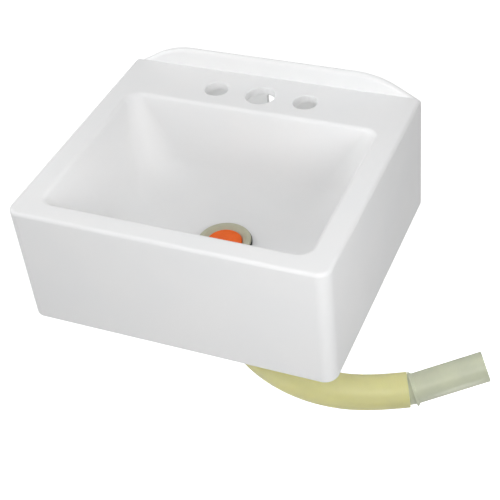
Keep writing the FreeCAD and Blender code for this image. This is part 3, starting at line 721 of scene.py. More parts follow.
# And on its outside: the shares of the rings up to a level over its floor, a level on its wall and the deck
OUTSIDE_RINGS = 40
OUTSIDE_SHARES = (0, 0.25, 0.8, 1)
OUTSIDE_FLOOR = 5
OUTSIDE_WALL = -60


def reach_of(z, mouth, knee, seat, knee_z, seat_z, lip, knee_round):
    """How far one side of a bowl stands from the drain's axis at each height, rounded and with sharp edges.

    A straight wall leans in from mouth to knee and a floor falls on to the seat. An arc over the wall's top
    edge and one in the knee are tangent to what they join: reach = middle -/+ sqrt(radius^2 - fall^2), with
    the fall taken from the arc's middle.
    """
    lean = math.atan2(mouth - knee, -knee_z)
    wall = mouth + math.tan(lean) * z
    floor_line = knee + (seat - knee) * (z - knee_z) / (seat_z - knee_z)
    sharp = np.where(z > knee_z, wall, floor_line)
    corner = np.array([knee, knee_z])
    up_wall = unit(np.array([mouth - knee, -knee_z]))
    along_floor = unit(np.array([seat - knee, seat_z - knee_z]))
    half = math.acos(up_wall @ along_floor) / 2
    middle = corner + unit(up_wall + along_floor) * knee_round / math.sin(half)
    tangent = knee_round / math.tan(half)
    high, low = corner[1] + up_wall[1] * tangent, corner[1] + along_floor[1] * tangent
    arc = middle[0] + np.sqrt(np.clip(knee_round ** 2 - (z - middle[1]) ** 2, 0, None))
    reach = np.where((z < high) & (z > low), arc, sharp)
    lip_middle = mouth - lip * math.tan(lean) + lip / math.cos(lean)
    lip_arc = lip_middle - np.sqrt(np.clip(lip ** 2 - (z + lip) ** 2, 0, None))
    reach = np.where(z > lip * (math.sin(lean) - 1), lip_arc, reach)
    return reach, sharp


def outlines(half, back, front, back_corner, front_corner, z):
    """Level rounded rectangles, one for each row: four quarter circles joined by straight sides."""
    quarter = np.linspace(0, math.pi / 2, CORNER_STEPS)
    corners = ((-1, 1, front, front_corner, 1), (0, 1, back, back_corner, -1),
               (1, -1, back, back_corner, -1), (2, -1, front, front_corner, 1))
    rows = []
    for turn, side, edge, corner, inward in corners:
        angle = quarter + turn * math.pi / 2
        x = (side * (half - corner))[:, None] + corner[:, None] * np.cos(angle)
        y = (edge + inward * corner)[:, None] + corner[:, None] * np.sin(angle)
        rows.append(np.stack([x, y, np.broadcast_to(z[:, None], x.shape)], -1))
    return np.concatenate(rows, 1)


def bowl_surface(z, wall=0.0):
    """The bowl's outlines at the heights z; a wall moves them out and down for the outside, without a lip."""
    lip = 0.0 if wall else LIP
    knee_z, seat_z = -KNEE_FALL - wall, -SEAT_FALL - wall
    seat, knee_round = SEAT + wall, KNEE_ROUND + wall
    sides = {}
    for name, reach in MOUTH.items():
        mouth = reach + wall
        sides[name] = reach_of(z, mouth, mouth - LEAN[name], seat, knee_z, seat_z, lip, knee_round)
    reach, sharp = sides["side"]
    corner = np.interp(-z, [0, -knee_z, -seat_z], np.array(BOWL_CORNERS) + wall) + reach - sharp
    middle = DRAIN[1]
    return outlines(reach, middle + sides["back"][0], middle - sides["front"][0], corner, corner, z)


def casting_surface(inset, z, corner):
    """The casting's outlines, drawn in by an inset at the front and sides but not at the back."""
    inset, z, corner = (np.asarray(value, float) for value in (inset, z, corner))
    flat = np.zeros_like(z)
    return outlines(HALF_WIDTH - inset, flat + BACK, FRONT + inset, flat + BACK_CORNER, corner, z)


def inside_heights():
    """Heights down the bowl's inside: close together over the lip and where the knee meets the floor."""
    over_lip = LIP * (np.cos(np.linspace(0, LIP_TURN, LIP_RINGS)) - 1)
    wall = np.linspace(over_lip[-1], KNEE_TOP, WALL_RINGS)[1:]
    knee = KNEE_TOP + (KNEE_END - KNEE_TOP) * np.sin(np.linspace(0, math.pi / 2, KNEE_RINGS))[1:]
    floor_line = np.linspace(KNEE_END, -SEAT_FALL, FLOOR_RINGS)[1:]
    return np.concatenate([over_lip, wall, knee, floor_line])


def outside_heights():
    """Heights up the bowl's outside, from under the seat to the deck: close together round the knee."""
    under_seat = -SEAT_FALL - BOWL_WALL
    levels = [under_seat, under_seat + OUTSIDE_FLOOR, OUTSIDE_WALL, -DECK]
    return np.interp(np.linspace(0, 1, OUTSIDE_RINGS), OUTSIDE_SHARES, levels)


def round_hole(ring, radius, z):
    """The ring's points moved straight towards the drain's axis onto a circle."""
    angle = np.arctan2(ring[:, 1] - DRAIN[1], ring[:, 0])
    circle = DRAIN + radius * np.stack([np.cos(angle), np.sin(angle), 0 * angle], -1)
    return np.stack([circle + UP * level for level in z])


def basin(material):
    """One casting: skirt, rim, bowl and the bowl's outside as rings, then tap holes and the open back."""
    quarter = np.linspace(0, math.pi / 2, EDGE_STEPS + 2)
    foot_inset = FOOT_EDGE * (1 - np.sin(quarter))
    rim_inset = RIM_EDGE * (1 - np.cos(quarter))
    foot = casting_surface(foot_inset, FOOT + FOOT_EDGE * (1 - np.cos(quarter)), CORNER - foot_inset)
    rim = casting_surface(rim_inset, RIM + RIM_EDGE * (np.sin(quarter) - 1), CORNER - rim_inset)
    inside = bowl_surface(inside_heights())
    outside = bowl_surface(outside_heights(), BOWL_WALL)
    drain_hole = round_hole(inside[-1], BARREL_BORE, (-SEAT_FALL, -SEAT_FALL - BOWL_WALL))
    skirt = casting_surface([SKIRT_WALL] * 2, [-DECK, FOOT], [SKIRT_CORNER] * 2)
    skirt[..., 1] = np.minimum(skirt[..., 1], BACK - SKIRT_WALL)
    item = solid("basin_casting", [np.concatenate([foot, rim, inside, drain_hole, outside, skirt])])
    return finish(combine(item, basin_cuts(), "DIFFERENCE"), material, "sink", "white_resin", "basin")


def basin_cuts():
    """Cutters for the tap holes, the inserts' holes and the back that stays open behind the bowl."""
    cuts = []
    flare = np.linspace(0, math.pi / 2, EDGE_STEPS + 1)
    for x, radius in TAP_HOLES:
        r = np.concatenate([[radius], radius + TAP_EDGE * (1 - np.cos(flare)), [radius + TAP_EDGE]])
        h = np.concatenate([[-DECK - PAST], TAP_EDGE * (np.sin(flare) - 1), [PAST]])
        cuts.append(drill(r, h, np.array([x, TAP_Y, 0]), UP, TURN_STEPS))
    insert_top = span("deck_inserts")[1][2]
    for spot in SCREW_PLACES:
        cuts.append(drill([INSERT_RADIUS + THREAD_GAP] * 2, (-DECK - PAST, insert_top), spot, UP))
    half = HALF_WIDTH - SKIRT_WALL
    outline = rounded(rectangle(-half, half, FOOT - PAST, -DECK))
    cuts.append(prism("back_cut", outline, -BACK - PAST, -BACK + BACK_CUT))
    return cuts


# Wall panel and its brackets

# The panel's raised top, its other roundings, its slot and its wall holes
UPSTAND_INSET = 12
UPSTAND_SLOPE = math.radians(30)
UPSTAND_ROUND = 90
PANEL_FOOT_ROUND = 10
PANEL_SIDE_ROUND = 8
PANEL_NOSE = 5
SLOT_HALF = 9
SLOT_TOP = -16
SLOT_FOOT = -66
# All but half the slot's width, so that the arcs of its corners stay apart
SLOT_ROUND = SLOT_HALF - 0.01
WALL_HOLE_RADIUS = 3.5
WALL_HOLE_INSET = 19
WALL_HOLE_LEVELS = (-30, -105)
# Brackets of bent sheet with a gusset
SHEET = 3
BEND = 1.5
GUSSET_MARGIN = 5
GUSSET_ROUND = 1


def nosed_plate(name, outline, thick, nose):
    """A flat plate on the wall whose front edge is rounded over by a quarter circle of the nose's radius.

    Each ring of the rounding is the outline moved inwards, square to itself, by nose * (1 - cos angle) at the
    depth thick - nose * (1 - sin angle).
    """
    along = np.roll(outline, -1, 0) - np.roll(outline, 1, 0)
    inward = np.stack([-along[:, 1], along[:, 0]], -1) / np.linalg.norm(along, axis=1)[:, None]
    angle = np.linspace(0, math.pi / 2, EDGE_STEPS + 2)
    inset = np.concatenate([[0], nose * (1 - np.cos(angle))])[:, None, None]
    depth = np.concatenate([[0], thick - nose * (1 - np.sin(angle))])[:, None, None]
    flat = outline + inset * inward
    grid = flat[..., :1] * TO_RIGHT + flat[..., 1:] * UP + depth * TO_ROOM
    return solid(name, [grid], closed=False, capped=True)


def wall_panel(material):
    """The steel panel: sloping shoulders round into the top edge; a slot and round holes go through it."""
    half, top, low = plate_high[0], plate_high[2], plate_low[2]
    shoulder = HALF_WIDTH - UPSTAND_INSET - top / math.tan(UPSTAND_SLOPE)
    slant_foot = top - (half - shoulder) * math.tan(UPSTAND_SLOPE)
    outline = rounded([
        (-half, low, PANEL_FOOT_ROUND), (half, low, PANEL_FOOT_ROUND), (half, slant_foot, PANEL_SIDE_ROUND),
        (shoulder, top, UPSTAND_ROUND), (-shoulder, top, UPSTAND_ROUND),
        (-half, slant_foot, PANEL_SIDE_ROUND),
    ], steps=20)
    thick = -BACK
    through = (-PAST, thick + PAST)
    slot = rounded(rectangle(-SLOT_HALF, SLOT_HALF, SLOT_FOOT, SLOT_TOP, SLOT_ROUND), steps=12)
    cuts = [prism("slot_cut", slot, *through)]
    for side in (-1, 1):
        for level in WALL_HOLE_LEVELS:
            centre = np.array([side * (half - WALL_HOLE_INSET), 0, level])
            cuts.append(drill([WALL_HOLE_RADIUS] * 2, through, centre, TO_ROOM))
    head, shank = STUD_HEAD_RADIUS + THREAD_GAP, SCREW_RADIUS + THREAD_GAP
    steps_down = (-PAST, STUD_HEAD, STUD_HEAD, thick + PAST)
    cuts += [drill([head, head, shank, shank], steps_down, centre, TO_ROOM) for centre in STUD_PLACES]
    panel = combine(nosed_plate("wall_panel", outline, thick, PANEL_NOSE), cuts, "DIFFERENCE")
    return finish(panel, material, "sink", "white_steel", "wall_plate", bevel=FULL)


def angle_bracket(name, node, material):
    """A strip bent square with a rounded bend, a triangular gusset in the angle, and four holes."""
    low, high = span(node)
    middle = (low[0] + high[0]) / 2
    strip = rounded([
        (high[1], high[2], BEND + SHEET), (low[1], high[2], 0), (low[1], high[2] - SHEET, 0),
        (high[1] - SHEET, high[2] - SHEET, BEND), (high[1] - SHEET, low[2], 0), (high[1], low[2], 0),
    ], steps=8)
    item = prism(name, strip, low[0], high[0], TO_WALL, UP, TO_RIGHT)
    sunk = SHEET / 2
    corner_y, corner_z = high[1] - SHEET + sunk, high[2] - SHEET + sunk
    front, foot = low[1] + GUSSET_MARGIN, low[2] + GUSSET_MARGIN
    web = rounded([(corner_y, corner_z, 0), (front, corner_z, 0), (front, corner_z - 2 * sunk, GUSSET_ROUND),
                   (corner_y - 2 * sunk, foot, GUSSET_ROUND), (corner_y, foot, 0)])
    gusset = prism("gusset", web, middle - SHEET / 2, middle + SHEET / 2, TO_WALL, UP, TO_RIGHT)
    combine(item, [gusset], "UNION")
    cuts = []
    for x in (middle - FASTENER_OFFSET, middle + FASTENER_OFFSET):
        cuts.append(drill([SCREW_HOLE] * 2, (high[2] - SHEET - PAST, high[2] + PAST),
                          np.array([x, SCREW_Y, 0]), UP))
        cuts.append(drill([SCREW_HOLE] * 2, (-high[1] - PAST, -high[1] + SHEET + PAST),
                          np.array([x, 0, STUD_Z]), TO_ROOM))
    combine(item, cuts, "DIFFERENCE")
    return finish(item, material, "sink", "zinc_steel", node, bevel=SOFT)


# Fasteners

THREAD_PITCH = 1
THREAD_DEPTH = 0.35
RINGS_PER_PITCH = 8
WASHER_EDGE = 0.25
# The studs: their heads, the plain length under them and the thread's run-in, run-out and end chamfer
STUD_HEAD = 2
STUD_PLAIN = 9.5
RUN_IN = 0.1
RUN_OUT = 0.02
END_CHAMFER = 0.7
# The nuts: their width across flats, the share of it that the end face keeps, and the slope of the chamfer
NUT_FLATS = 10
NUT_FACE = 0.95
CHAMFER_ANGLE = math.radians(30)
# The deck screws' heads and the sockets in them, whose floor ends in a point and whose mouth flares
HEAD_ROUND = 0.7
HEAD_FOOT = 0.2
SOCKET_FLATS = 4
SOCKET_DEPTH = 2.4
SOCKET_POINT = 0.2
SOCKET_MOUTH = 1.08
SOCKET_STEP = 0.2


def thread(radius, depth, pitch, height, steps):
    """A threaded rod's radius by height and angle: a triangle wave of height/pitch - angle/turn."""
    share = (height[:, None] / pitch - turn_angles(steps) / (2 * math.pi)) % 1
    return radius - depth * np.abs(2 * share - 1)


def chamfered_hexagon(across_flats, low, high, face, rings, steps):
    """A hexagonal bar with a cone at each end: its radius at each ring and step, and its rings' heights.

    The radius is the lesser of the hexagon's and the cone's.
    """
    face_radius = across_flats / 2 * face
    chamfer = (across_flats / math.sqrt(3) - face_radius) * math.tan(CHAMFER_ANGLE)
    rise = chamfer * np.linspace(0, 1, rings)
    height = np.concatenate([low + rise, high - rise[::-1]])
    cone = face_radius + np.minimum(height - low, high - height) / math.tan(CHAMFER_ANGLE)
    return np.minimum(hexagon(across_flats, steps), cone[:, None]), height


def nut(across_flats, low, high, inside, centre, direction=UP, steps=72):
    """A hexagonal nut; its inside is a list of (radius, height) from the high end to the low end."""
    outside, height = chamfered_hexagon(across_flats, low, high, NUT_FACE, rings=6, steps=steps)
    inside = np.array(inside, float)
    bore = np.broadcast_to(inside[:, :1], (len(inside), steps))
    return turned(np.concatenate([outside, bore]), np.concatenate([height, inside[:, 1]]),
                  centre, direction, steps)


def countersunk(radius, low, high, depth=SOFT):
    """A plain bore with a small cone at each end, from the high end down."""
    return [(radius + depth, high), (radius, high - depth), (radius, low + depth), (radius + depth, low)]


def washer(outer, inner, low, high, centre, direction, edge=WASHER_EDGE):
    """A flat ring: a rectangle with rounded corners, turned about an axis."""
    return turned_profile(rectangle(inner, outer, low, high, edge), centre, direction, SMALL_TURN_STEPS)


def stud(centre, steps=SMALL_TURN_STEPS):
    """A flat-headed stud: plain under its head, then threaded to a chamfered end."""
    end = -stud_low[1]
    wide = STUD_HEAD_RADIUS
    head_height = [0, 0, FINE, STUD_HEAD, STUD_HEAD, STUD_PLAIN]
    head = np.array([0, wide - FINE, wide, wide, SCREW_RADIUS, SCREW_RADIUS])
    count = int((end - STUD_PLAIN) / THREAD_PITCH * RINGS_PER_PITCH)
    height = np.linspace(STUD_PLAIN + RUN_IN, end - RUN_OUT, count)
    cut = np.minimum(thread(SCREW_RADIUS, THREAD_DEPTH, THREAD_PITCH, height, steps),
                     (SCREW_RADIUS - END_CHAMFER + end - height)[:, None])
    radius = np.concatenate([np.broadcast_to(head[:, None], (len(head), steps)), cut, np.zeros((1, steps))])
    return turned(radius, np.concatenate([head_height, height, [end]]), centre, TO_ROOM, steps)


def socket_screw(centre, steps=SMALL_TURN_STEPS):
    """A round-edged screw head with a hexagonal socket in its face, and its shank."""
    low, high = screw_low[2], screw_high[2]
    shoulder = span("deck_washers")[0][2]
    head_radius = (screw_high[1] - screw_low[1]) / 2
    socket = hexagon(SOCKET_FLATS, steps)
    edge = rounded([
        (SOCKET_FLATS, low, 0), (head_radius, low, HEAD_ROUND), (head_radius, shoulder, HEAD_FOOT),
        (SCREW_RADIUS, shoulder, 0), (SCREW_RADIUS, high, FINE), (0, high, 0),
    ], closed=False)
    inside = np.stack([0 * socket, SOCKET_POINT * socket, socket, socket, SOCKET_MOUTH * socket])
    bottom = low + SOCKET_DEPTH
    inside_height = [bottom + 2 * SOCKET_STEP, bottom + SOCKET_STEP, bottom, low + SOCKET_STEP, low]
    radius = np.concatenate([inside, np.broadcast_to(edge[:, :1], (len(edge), steps))])
    return turned(radius, np.concatenate([inside_height, edge[:, 1]]), centre, UP, steps)


def fasteners(zinc, brass):
    """Studs, washers and nuts on the wall legs; inserts, washers and screws on the deck legs."""
    low, high = span("stud_washers")
    radius = (high[2] - low[2]) / 2
    finish(solid("plate_stud_set", [stud(spot) for spot in STUD_PLACES], closed=False),
           zinc, "sink", "zinc_steel", "plate_studs")
    grids = [washer(radius, SCREW_HOLE, -high[1], -low[1], spot, TO_ROOM) for spot in STUD_PLACES]
    finish(solid("stud_washer_set", grids), zinc, "sink", "zinc_steel", "stud_washers")
    low, high = span("stud_nuts")
    inside = countersunk(SCREW_RADIUS + THREAD_GAP, -high[1], -low[1])
    grids = [nut(NUT_FLATS, -high[1], -low[1], inside, spot, TO_ROOM) for spot in STUD_PLACES]
    finish(solid("stud_nut_set", grids), zinc, "sink", "zinc_steel", "stud_nuts")
    low, high = span("deck_washers")
    grids = [washer(radius, SCREW_HOLE, low[2], high[2], spot, UP) for spot in SCREW_PLACES]
    finish(solid("deck_washer_set", grids), zinc, "sink", "zinc_steel", "deck_washers")
    finish(solid("deck_screw_set", [socket_screw(spot) for spot in SCREW_PLACES], closed=False),
           zinc, "sink", "zinc_steel", "deck_screws")
    low, high = span("deck_inserts")
    bore = SCREW_RADIUS + THREAD_GAP
    grids = [washer(INSERT_RADIUS, bore, low[2], high[2], spot, UP, FINE) for spot in SCREW_PLACES]
    finish(solid("deck_insert_set", grids), brass, "sink", "brass", "deck_inserts")


# Waste, stopper and what holds them under the bowl

# Radii of the waste's mouth, barrel, cup and outlet and of the tailpiece, and the sizes that go with them
MOUTH_RADIUS = 23.5
FLANGE_BEVEL = 1
BARREL = 21.75
BARREL_BORE = 22.15
CUP = 19
CUP_LIP = 3.5
CUP_LIP_ROUND = 1.5
CUP_DEPTH = 18
STOPPER_BEVEL = 0.8
STOPPER_CROWN = 0.5
SEAL_ROUND = 1.2
GASKET_ROUND = 0.9
OUTLET = 16
TAIL = 18
TAIL_FLANGE = 2
SWIVEL_GAP = 0.3
LOCK_NUT_FLATS = 60
SLIP_NUT_FLATS = 54
SLIP_NUT_LIP = 4.2


def drain_ring(name, node, material, slot, inner, edge, lift=0.0):
    """A plain ring on the drain's axis with rounded edges; a lift keeps it off what turns below it."""
    low, high = span(node)
    outer = (high[0] - low[0]) / 2
    profile = turned_profile(rectangle(inner, outer, low[2] + lift, high[2], edge))
    return finish(solid(name, [profile]), material, "sink", slot, node)


def waste(plastic, rubber, orange):
    """The flanged waste with its cup, the seal under its flange and the stopper in the cup."""
    rim, top, end = waste_high[0], waste_high[2], waste_low[2]
    seal_top = span("flange_seal")[1][2]
    cup_floor = top - CUP_DEPTH
    body = turned_profile([
        (MOUTH_RADIUS, top, SOFT), (rim - FLANGE_BEVEL, top, FULL), (rim, top - FLANGE_BEVEL, EASED),
        (rim, seal_top, CRISP), (BARREL, seal_top, 0), (BARREL, end, SOFT), (OUTLET, end, SOFT),
        (OUTLET, cup_floor, FULL), (CUP, cup_floor, SOFT), (CUP, top - CUP_LIP, CUP_LIP_ROUND),
    ], steps=128)
    finish(solid("waste_fitting", [body]), plastic, "sink", "grey_plastic", "waste_body")
    drain_ring("flange_gasket", "flange_seal", rubber, "black_rubber", BARREL_BORE, SEAL_ROUND)
    low, high = span("stopper")
    radius, foot, top_edge = high[0], low[2], high[2] - STOPPER_CROWN
    plug = turned_profile([
        (0, foot, 0), (radius - STOPPER_BEVEL, foot, EASED), (radius, foot + STOPPER_BEVEL, EASED),
        (radius, top_edge - STOPPER_BEVEL, EASED), (radius - STOPPER_BEVEL, top_edge, EASED), (0, high[2], 0),
    ], closed=False)
    finish(solid("drain_stopper", [plug], closed=False), orange, "stopper_plug", "orange_rubber", "stopper")


def under_bowl(plastic, rubber):
    """Gasket, friction ring and lock nut on the barrel; washer, slip nut and tailpiece below it."""
    drain_ring("bowl_gasket", "under_gasket", rubber, "black_rubber", BARREL_BORE, GASKET_ROUND)
    drain_ring("friction_washer", "friction_ring", plastic, "grey_plastic", BARREL_BORE, CRISP)
    drain_ring("tail_gasket", "tail_washer", rubber, "black_rubber", OUTLET, CRISP, lift=THREAD_GAP)
    bore, passage = BARREL + THREAD_GAP, TAIL + SWIVEL_GAP
    low, high = span("lock_nut")
    inside = countersunk(bore, low[2], high[2], FULL)
    finish(solid("waste_lock_nut", [nut(LOCK_NUT_FLATS, low[2], high[2], inside, DRAIN, steps=144)]),
           plastic, "sink", "grey_plastic", "lock_nut")
    low, high = span("slip_nut")
    seat = low[2] + SLIP_NUT_LIP
    inside = [(bore + EASED, high[2]), (bore, high[2] - EASED), (bore, seat),
              (passage, seat), (passage, low[2] + FINE), (passage + FINE, low[2])]
    finish(solid("tail_slip_nut", [nut(SLIP_NUT_FLATS, low[2], high[2], inside, DRAIN, steps=144)]),
           plastic, "sink", "grey_plastic", "slip_nut")
    low, high = span("tailpiece")
    flange, flange_foot = high[0], high[2] - TAIL_FLANGE
    pipe = turned_profile([
        (OUTLET, high[2], CRISP), (flange, high[2], CRISP), (flange, flange_foot, CRISP),
        (TAIL, flange_foot, SOFT), (TAIL, low[2], FULL), (OUTLET, low[2], FINE),
    ])
    finish(solid("drain_tailpiece", [pipe]), plastic, "drain_tail", "grey_plastic", "tailpiece")


# Hose clamp

# The band and its pressed grooves
BAND_INNER = 21.1
BAND_RINGS = 25
BAND_EDGE = 0.15
GROOVE_PITCH = 3.2
GROOVE_DEPTH = 0.45
GROOVE_HALF_LENGTH = 4
GROOVE_FADE = 0.5
GROOVE_STEEPNESS = 2.2
GROOVE_LEAN = 0.35
GROOVE_ARC = math.radians(75)
# The housing: its rounding, and a depth that reaches past its curved back
HOUSING_ROUND = 5
HOUSING_STEPS = 17
PAST_BACK = 20
# The worm and its slotted head
WORM_RADIUS = 2
WORM_PITCH = 1.8
WORM_DEPTH = 0.45
WORM_RINGS = 140
WORM_START = 0.05
WORM_CHAMFER = 0.6
CLAMP_HEAD_FLATS = 7
CLAMP_HEAD_FACE = 0.93
HEAD_SLOT_HALF = 0.6
HEAD_SLOT_DEPTH = 1.6


def clamp_band(material, steps=480):
    """A flat band round the hose, pressed with a row of leaning grooves on both sides of its housing.

    The outer radius drops by a clipped sine of the place along the band, faded out past the grooves' ends.
    """
    low, high = span("clamp_band")
    outer = high[0]
    height = np.linspace(low[2], high[2], BAND_RINGS)
    middle = (low[2] + high[2]) / 2
    angle = turn_angles(steps)
    from_housing = np.abs((angle + math.pi / 2 + math.pi) % (2 * math.pi) - math.pi)
    along = angle[None] * outer + (height - middle)[:, None] * GROOVE_LEAN
    wave = np.clip(GROOVE_STEEPNESS * np.sin(2 * math.pi * along / GROOVE_PITCH), -1, 1) / 2 + 0.5
    within = np.clip(GROOVE_HALF_LENGTH + GROOVE_FADE - np.abs(height - middle), 0, 1)[:, None]
    reach = np.clip((GROOVE_ARC - from_housing) * outer, 0, 1)[None]
    radius = outer - GROOVE_DEPTH * wave * within * reach
    radius[[0, -1]] -= BAND_EDGE
    bore = np.full((2, steps), BAND_INNER)
    height = np.concatenate([height, [high[2], low[2]]])
    grid = turned(np.concatenate([radius, bore]), height, DRAIN, steps=steps)
    return finish(solid("clamp_strap", [grid]), material, "drain_tail", "clamp_steel", "clamp_band")


def worm_axis():
    """A point on the clamp screw's axis at mid width."""
    low, high = span("clamp_screw")
    return np.array([0, (low[1] + high[1]) / 2, (low[2] + high[2]) / 2])


def clamp_housing(material):
    """The worm's housing: a round-fronted block whose back follows the band, drilled for the screw."""
    low, high = span("clamp_housing")
    half = high[0]
    seat = span("clamp_band")[1][0] + THREAD_GAP
    x = np.linspace(-half, half, HOUSING_STEPS)
    back = DRAIN[1] - np.sqrt(seat ** 2 - x ** 2)
    front = low[1]
    section = rounded([(front, low[2], HOUSING_ROUND), (front + PAST_BACK, low[2], 0),
                       (front + PAST_BACK, high[2], 0), (front, high[2], HOUSING_ROUND)], steps=8)
    y = np.minimum(section[None, :, 0], back[:, None])
    across, z = np.broadcast_arrays(x[:, None], section[None, :, 1])
    item = solid("clamp_worm_housing", [np.stack([across, y, z], -1)], closed=False, capped=True)
    bore = drill([WORM_RADIUS + THREAD_GAP] * 2, (-half - PAST, half + PAST), worm_axis(), TO_RIGHT)
    combine(item, [bore], "DIFFERENCE")
    return finish(item, material, "drain_tail", "clamp_steel", "clamp_housing", bevel=FINE)


def clamp_screw(material, steps=72):
    """A worm with a chamfered, slotted hexagonal head."""
    low, high = span("clamp_screw")
    start, end = low[0], high[0]
    axis = worm_axis()
    y, z = axis[1:]
    head_start = span("clamp_housing")[1][0]
    height = np.linspace(start + WORM_START, head_start, WORM_RINGS)
    worm = np.minimum(thread(WORM_RADIUS, WORM_DEPTH, WORM_PITCH, height, steps),
                      (WORM_RADIUS - WORM_CHAMFER + height - start)[:, None])
    head, head_height = chamfered_hexagon(CLAMP_HEAD_FLATS, head_start, end, CLAMP_HEAD_FACE,
                                          rings=5, steps=steps)
    pole = np.zeros((1, steps))
    radii = np.concatenate([pole, worm, head, pole])
    heights = np.concatenate([[start], height, head_height, [end]])
    item = solid("clamp_worm_screw", [turned(radii, heights, axis, TO_RIGHT, steps)], closed=False)
    wide = CLAMP_HEAD_FLATS
    outline = rounded(rectangle(y - wide, y + wide, z - HEAD_SLOT_HALF, z + HEAD_SLOT_HALF))
    slot = prism("slot_cut", outline, end - HEAD_SLOT_DEPTH, end + PAST, TO_WALL, UP, TO_RIGHT)
    combine(item, [slot], "DIFFERENCE")
    return finish(item, material, "drain_tail", "clamp_steel", "clamp_screw")


# Drain hose and the tube in its far end

# The hose's route as reach from the drain's axis along its heading and height from the hose's top end;
# its length is in metres
HOSE_ROUTE = [(0, 0), (0, -54), (16, -111), (48, -154), (92, -184), (145, -197), (191, -193.2)]
HOSE_HEADING = math.radians(22)
HOSE_STEPS = 16
HOSE_RADIUS = 21
HOSE_BORE = 18.2
HOSE_LIP = 0.9
HOSE_TOP = DRAIN + UP * span("drain_hose")[1][2]
HOSE_AHEAD = np.array([math.cos(HOSE_HEADING), math.sin(HOSE_HEADING), 0])
HOSE_SIDE = np.cross(UP, HOSE_AHEAD)
# The end tube: how far it goes into the hose, its turn outside it, its mouth and its barbed collar
SPIGOT = 26
NECK = 4.5
END_TUBE_LENGTH = 88.5
END_TUBE_HEADING = math.radians(28)
END_TUBE_RISE = math.radians(14.5)
END_TUBE_BORE = 15
END_TUBE_ROUND = 0.9
COLLAR_RISE = 2.7
COLLAR_RIM = 1.3
COLLAR_LENGTH = 4
COLLAR_ROUND = 1


def hose_line():
    """Points of the smooth line through the hose, read from a spline whose control points are the route."""
    curve = bpy.data.curves.new("hose_line", "CURVE")
    curve.dimensions = "3D"
    curve.resolution_u = HOSE_STEPS
    spline = curve.splines.new("NURBS")
    spline.points.add(len(HOSE_ROUTE) - 1)
    for point, (reach, rise) in zip(spline.points, HOSE_ROUTE):
        place = HOSE_TOP + HOSE_AHEAD * reach + UP * rise
        point.co = (*place, 1)
    spline.order_u = 3
    spline.use_endpoint_u = True
    holder = link("hose_line", curve)
    mesh = bpy.data.meshes.new_from_object(holder)
    line = np.zeros(len(mesh.vertices) * 3)
    mesh.vertices.foreach_get("co", line)
    bpy.data.objects.remove(holder)
    bpy.data.meshes.remove(mesh)
    return line.reshape(-1, 3)


def drain_hose(material, line, connector):
    """A tube along the line: the outside from one rounded lip to the other, then the bore back again.

    Each ring is centre + radius * (cos * side + sin * across), where side is level and across is square to it
    and to the line. Over a lip the radius changes by lip * (1 - cos angle) while the centre moves by
    lip * (1 - sin angle).
    """
    ahead = np.gradient(line, axis=0)
    ahead /= np.linalg.norm(ahead, axis=1)[:, None]
    across = np.cross(ahead, HOSE_SIDE)
    quarter = np.linspace(0, math.pi / 2, EDGE_STEPS)
    fall, inset = HOSE_LIP * (1 - np.cos(quarter)), HOSE_LIP * (1 - np.sin(quarter))
    inner = np.arange(1, len(line) - 1)
    still = np.zeros(len(inner))
    first, last = np.full(EDGE_STEPS, 0), np.full(EDGE_STEPS, len(line) - 1)
    index = np.concatenate([first, inner, last, last, inner[::-1], first])
    shift = np.concatenate([inset[::-1], still, -inset, -inset[::-1], still, inset])
    radius = np.concatenate([HOSE_RADIUS - fall[::-1], HOSE_RADIUS + still, HOSE_RADIUS - fall,
                             HOSE_BORE + fall[::-1], HOSE_BORE + still, HOSE_BORE + fall])
    centre = line[index] + ahead[index] * shift[:, None]
    angle = turn_angles(TURN_STEPS)
    spokes = np.cos(angle)[:, None] * HOSE_SIDE + np.sin(angle)[:, None] * across[index][:, None]
    item = solid("yellow_drain_hose", [centre[:, None] + radius[:, None, None] * spokes])
    finish(item, material, "drain_tail", "hose_vinyl", "drain_hose")
    return item


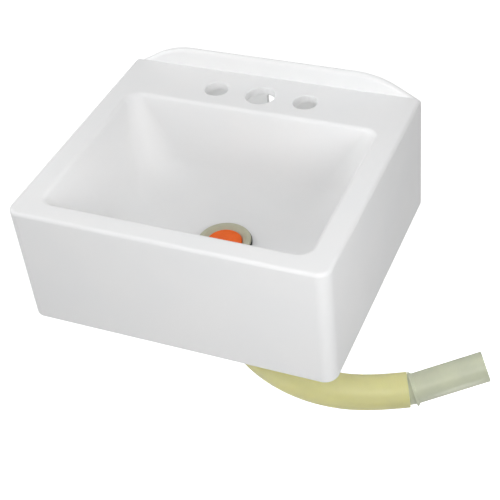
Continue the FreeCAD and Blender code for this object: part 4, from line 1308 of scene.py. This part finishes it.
def end_tube(material, line):
    """A tube whose spigot sits in the hose; past a short neck it turns, with a barbed collar at the turn.

    Rings of the outside, the mouth and the bore, square to the hose before the turn and to the tube after it.
    """
    along = unit(line[-1] - line[-2])
    level = np.array([math.cos(END_TUBE_HEADING), math.sin(END_TUBE_HEADING), 0])
    outward = level * math.cos(END_TUBE_RISE) + UP * math.sin(END_TUBE_RISE)
    elbow = line[-1] + along * NECK
    turn = np.array(Vector(along).rotation_difference(Vector(outward)).to_matrix())
    side, other = around(along)
    angle = turn_angles(TURN_STEPS)
    spokes = np.cos(angle)[:, None] * side + np.sin(angle)[:, None] * other
    start, end, bore = -SPIGOT - NECK, END_TUBE_LENGTH, END_TUBE_BORE
    collar = TAIL + COLLAR_RISE
    in_hose = rounded([
        (bore, -NECK, 0), (bore, start, SOFT), (TAIL, start, COLLAR_ROUND), (TAIL, SOFT - NECK, 0),
    ], closed=False)
    outside = rounded([
        (TAIL, 0, 0), (collar, 0, SOFT), (collar, COLLAR_RIM, SOFT), (TAIL, COLLAR_LENGTH, COLLAR_ROUND),
        (TAIL, end, END_TUBE_ROUND), (bore, end, END_TUBE_ROUND), (bore, 0, 0),
    ], closed=False)
    first = elbow + in_hose[:, None, :1] * spokes + in_hose[:, None, 1:] * along
    second = elbow + outside[:, None, :1] * (spokes @ turn.T) + outside[:, None, 1:] * outward
    item = solid("outlet_tube", [np.concatenate([first, second])])
    return finish(item, material, "drain_tail", "grey_plastic", "hose_connector")


camera()
world()
floor()
lights()
zinc, plastic, rubber, strip = zinc_plate(), grey_green_plastic(), black_rubber(), stainless()
basin(white_resin())
wall_panel(white_coat())
angle_bracket("angle_bracket_left", "bracket_left", zinc)
angle_bracket("angle_bracket_right", "bracket_right", zinc)
fasteners(zinc, turned_brass())
waste(waste_plastic(), rubber, orange_rubber())
under_bowl(plastic, rubber)
clamp_band(strip)
clamp_housing(strip)
clamp_screw(strip)
hose = hose_line()
drain_hose(hose_vinyl(), hose, end_tube(plastic, hose))
bpy.context.scene.view_settings.view_transform = "Standard"
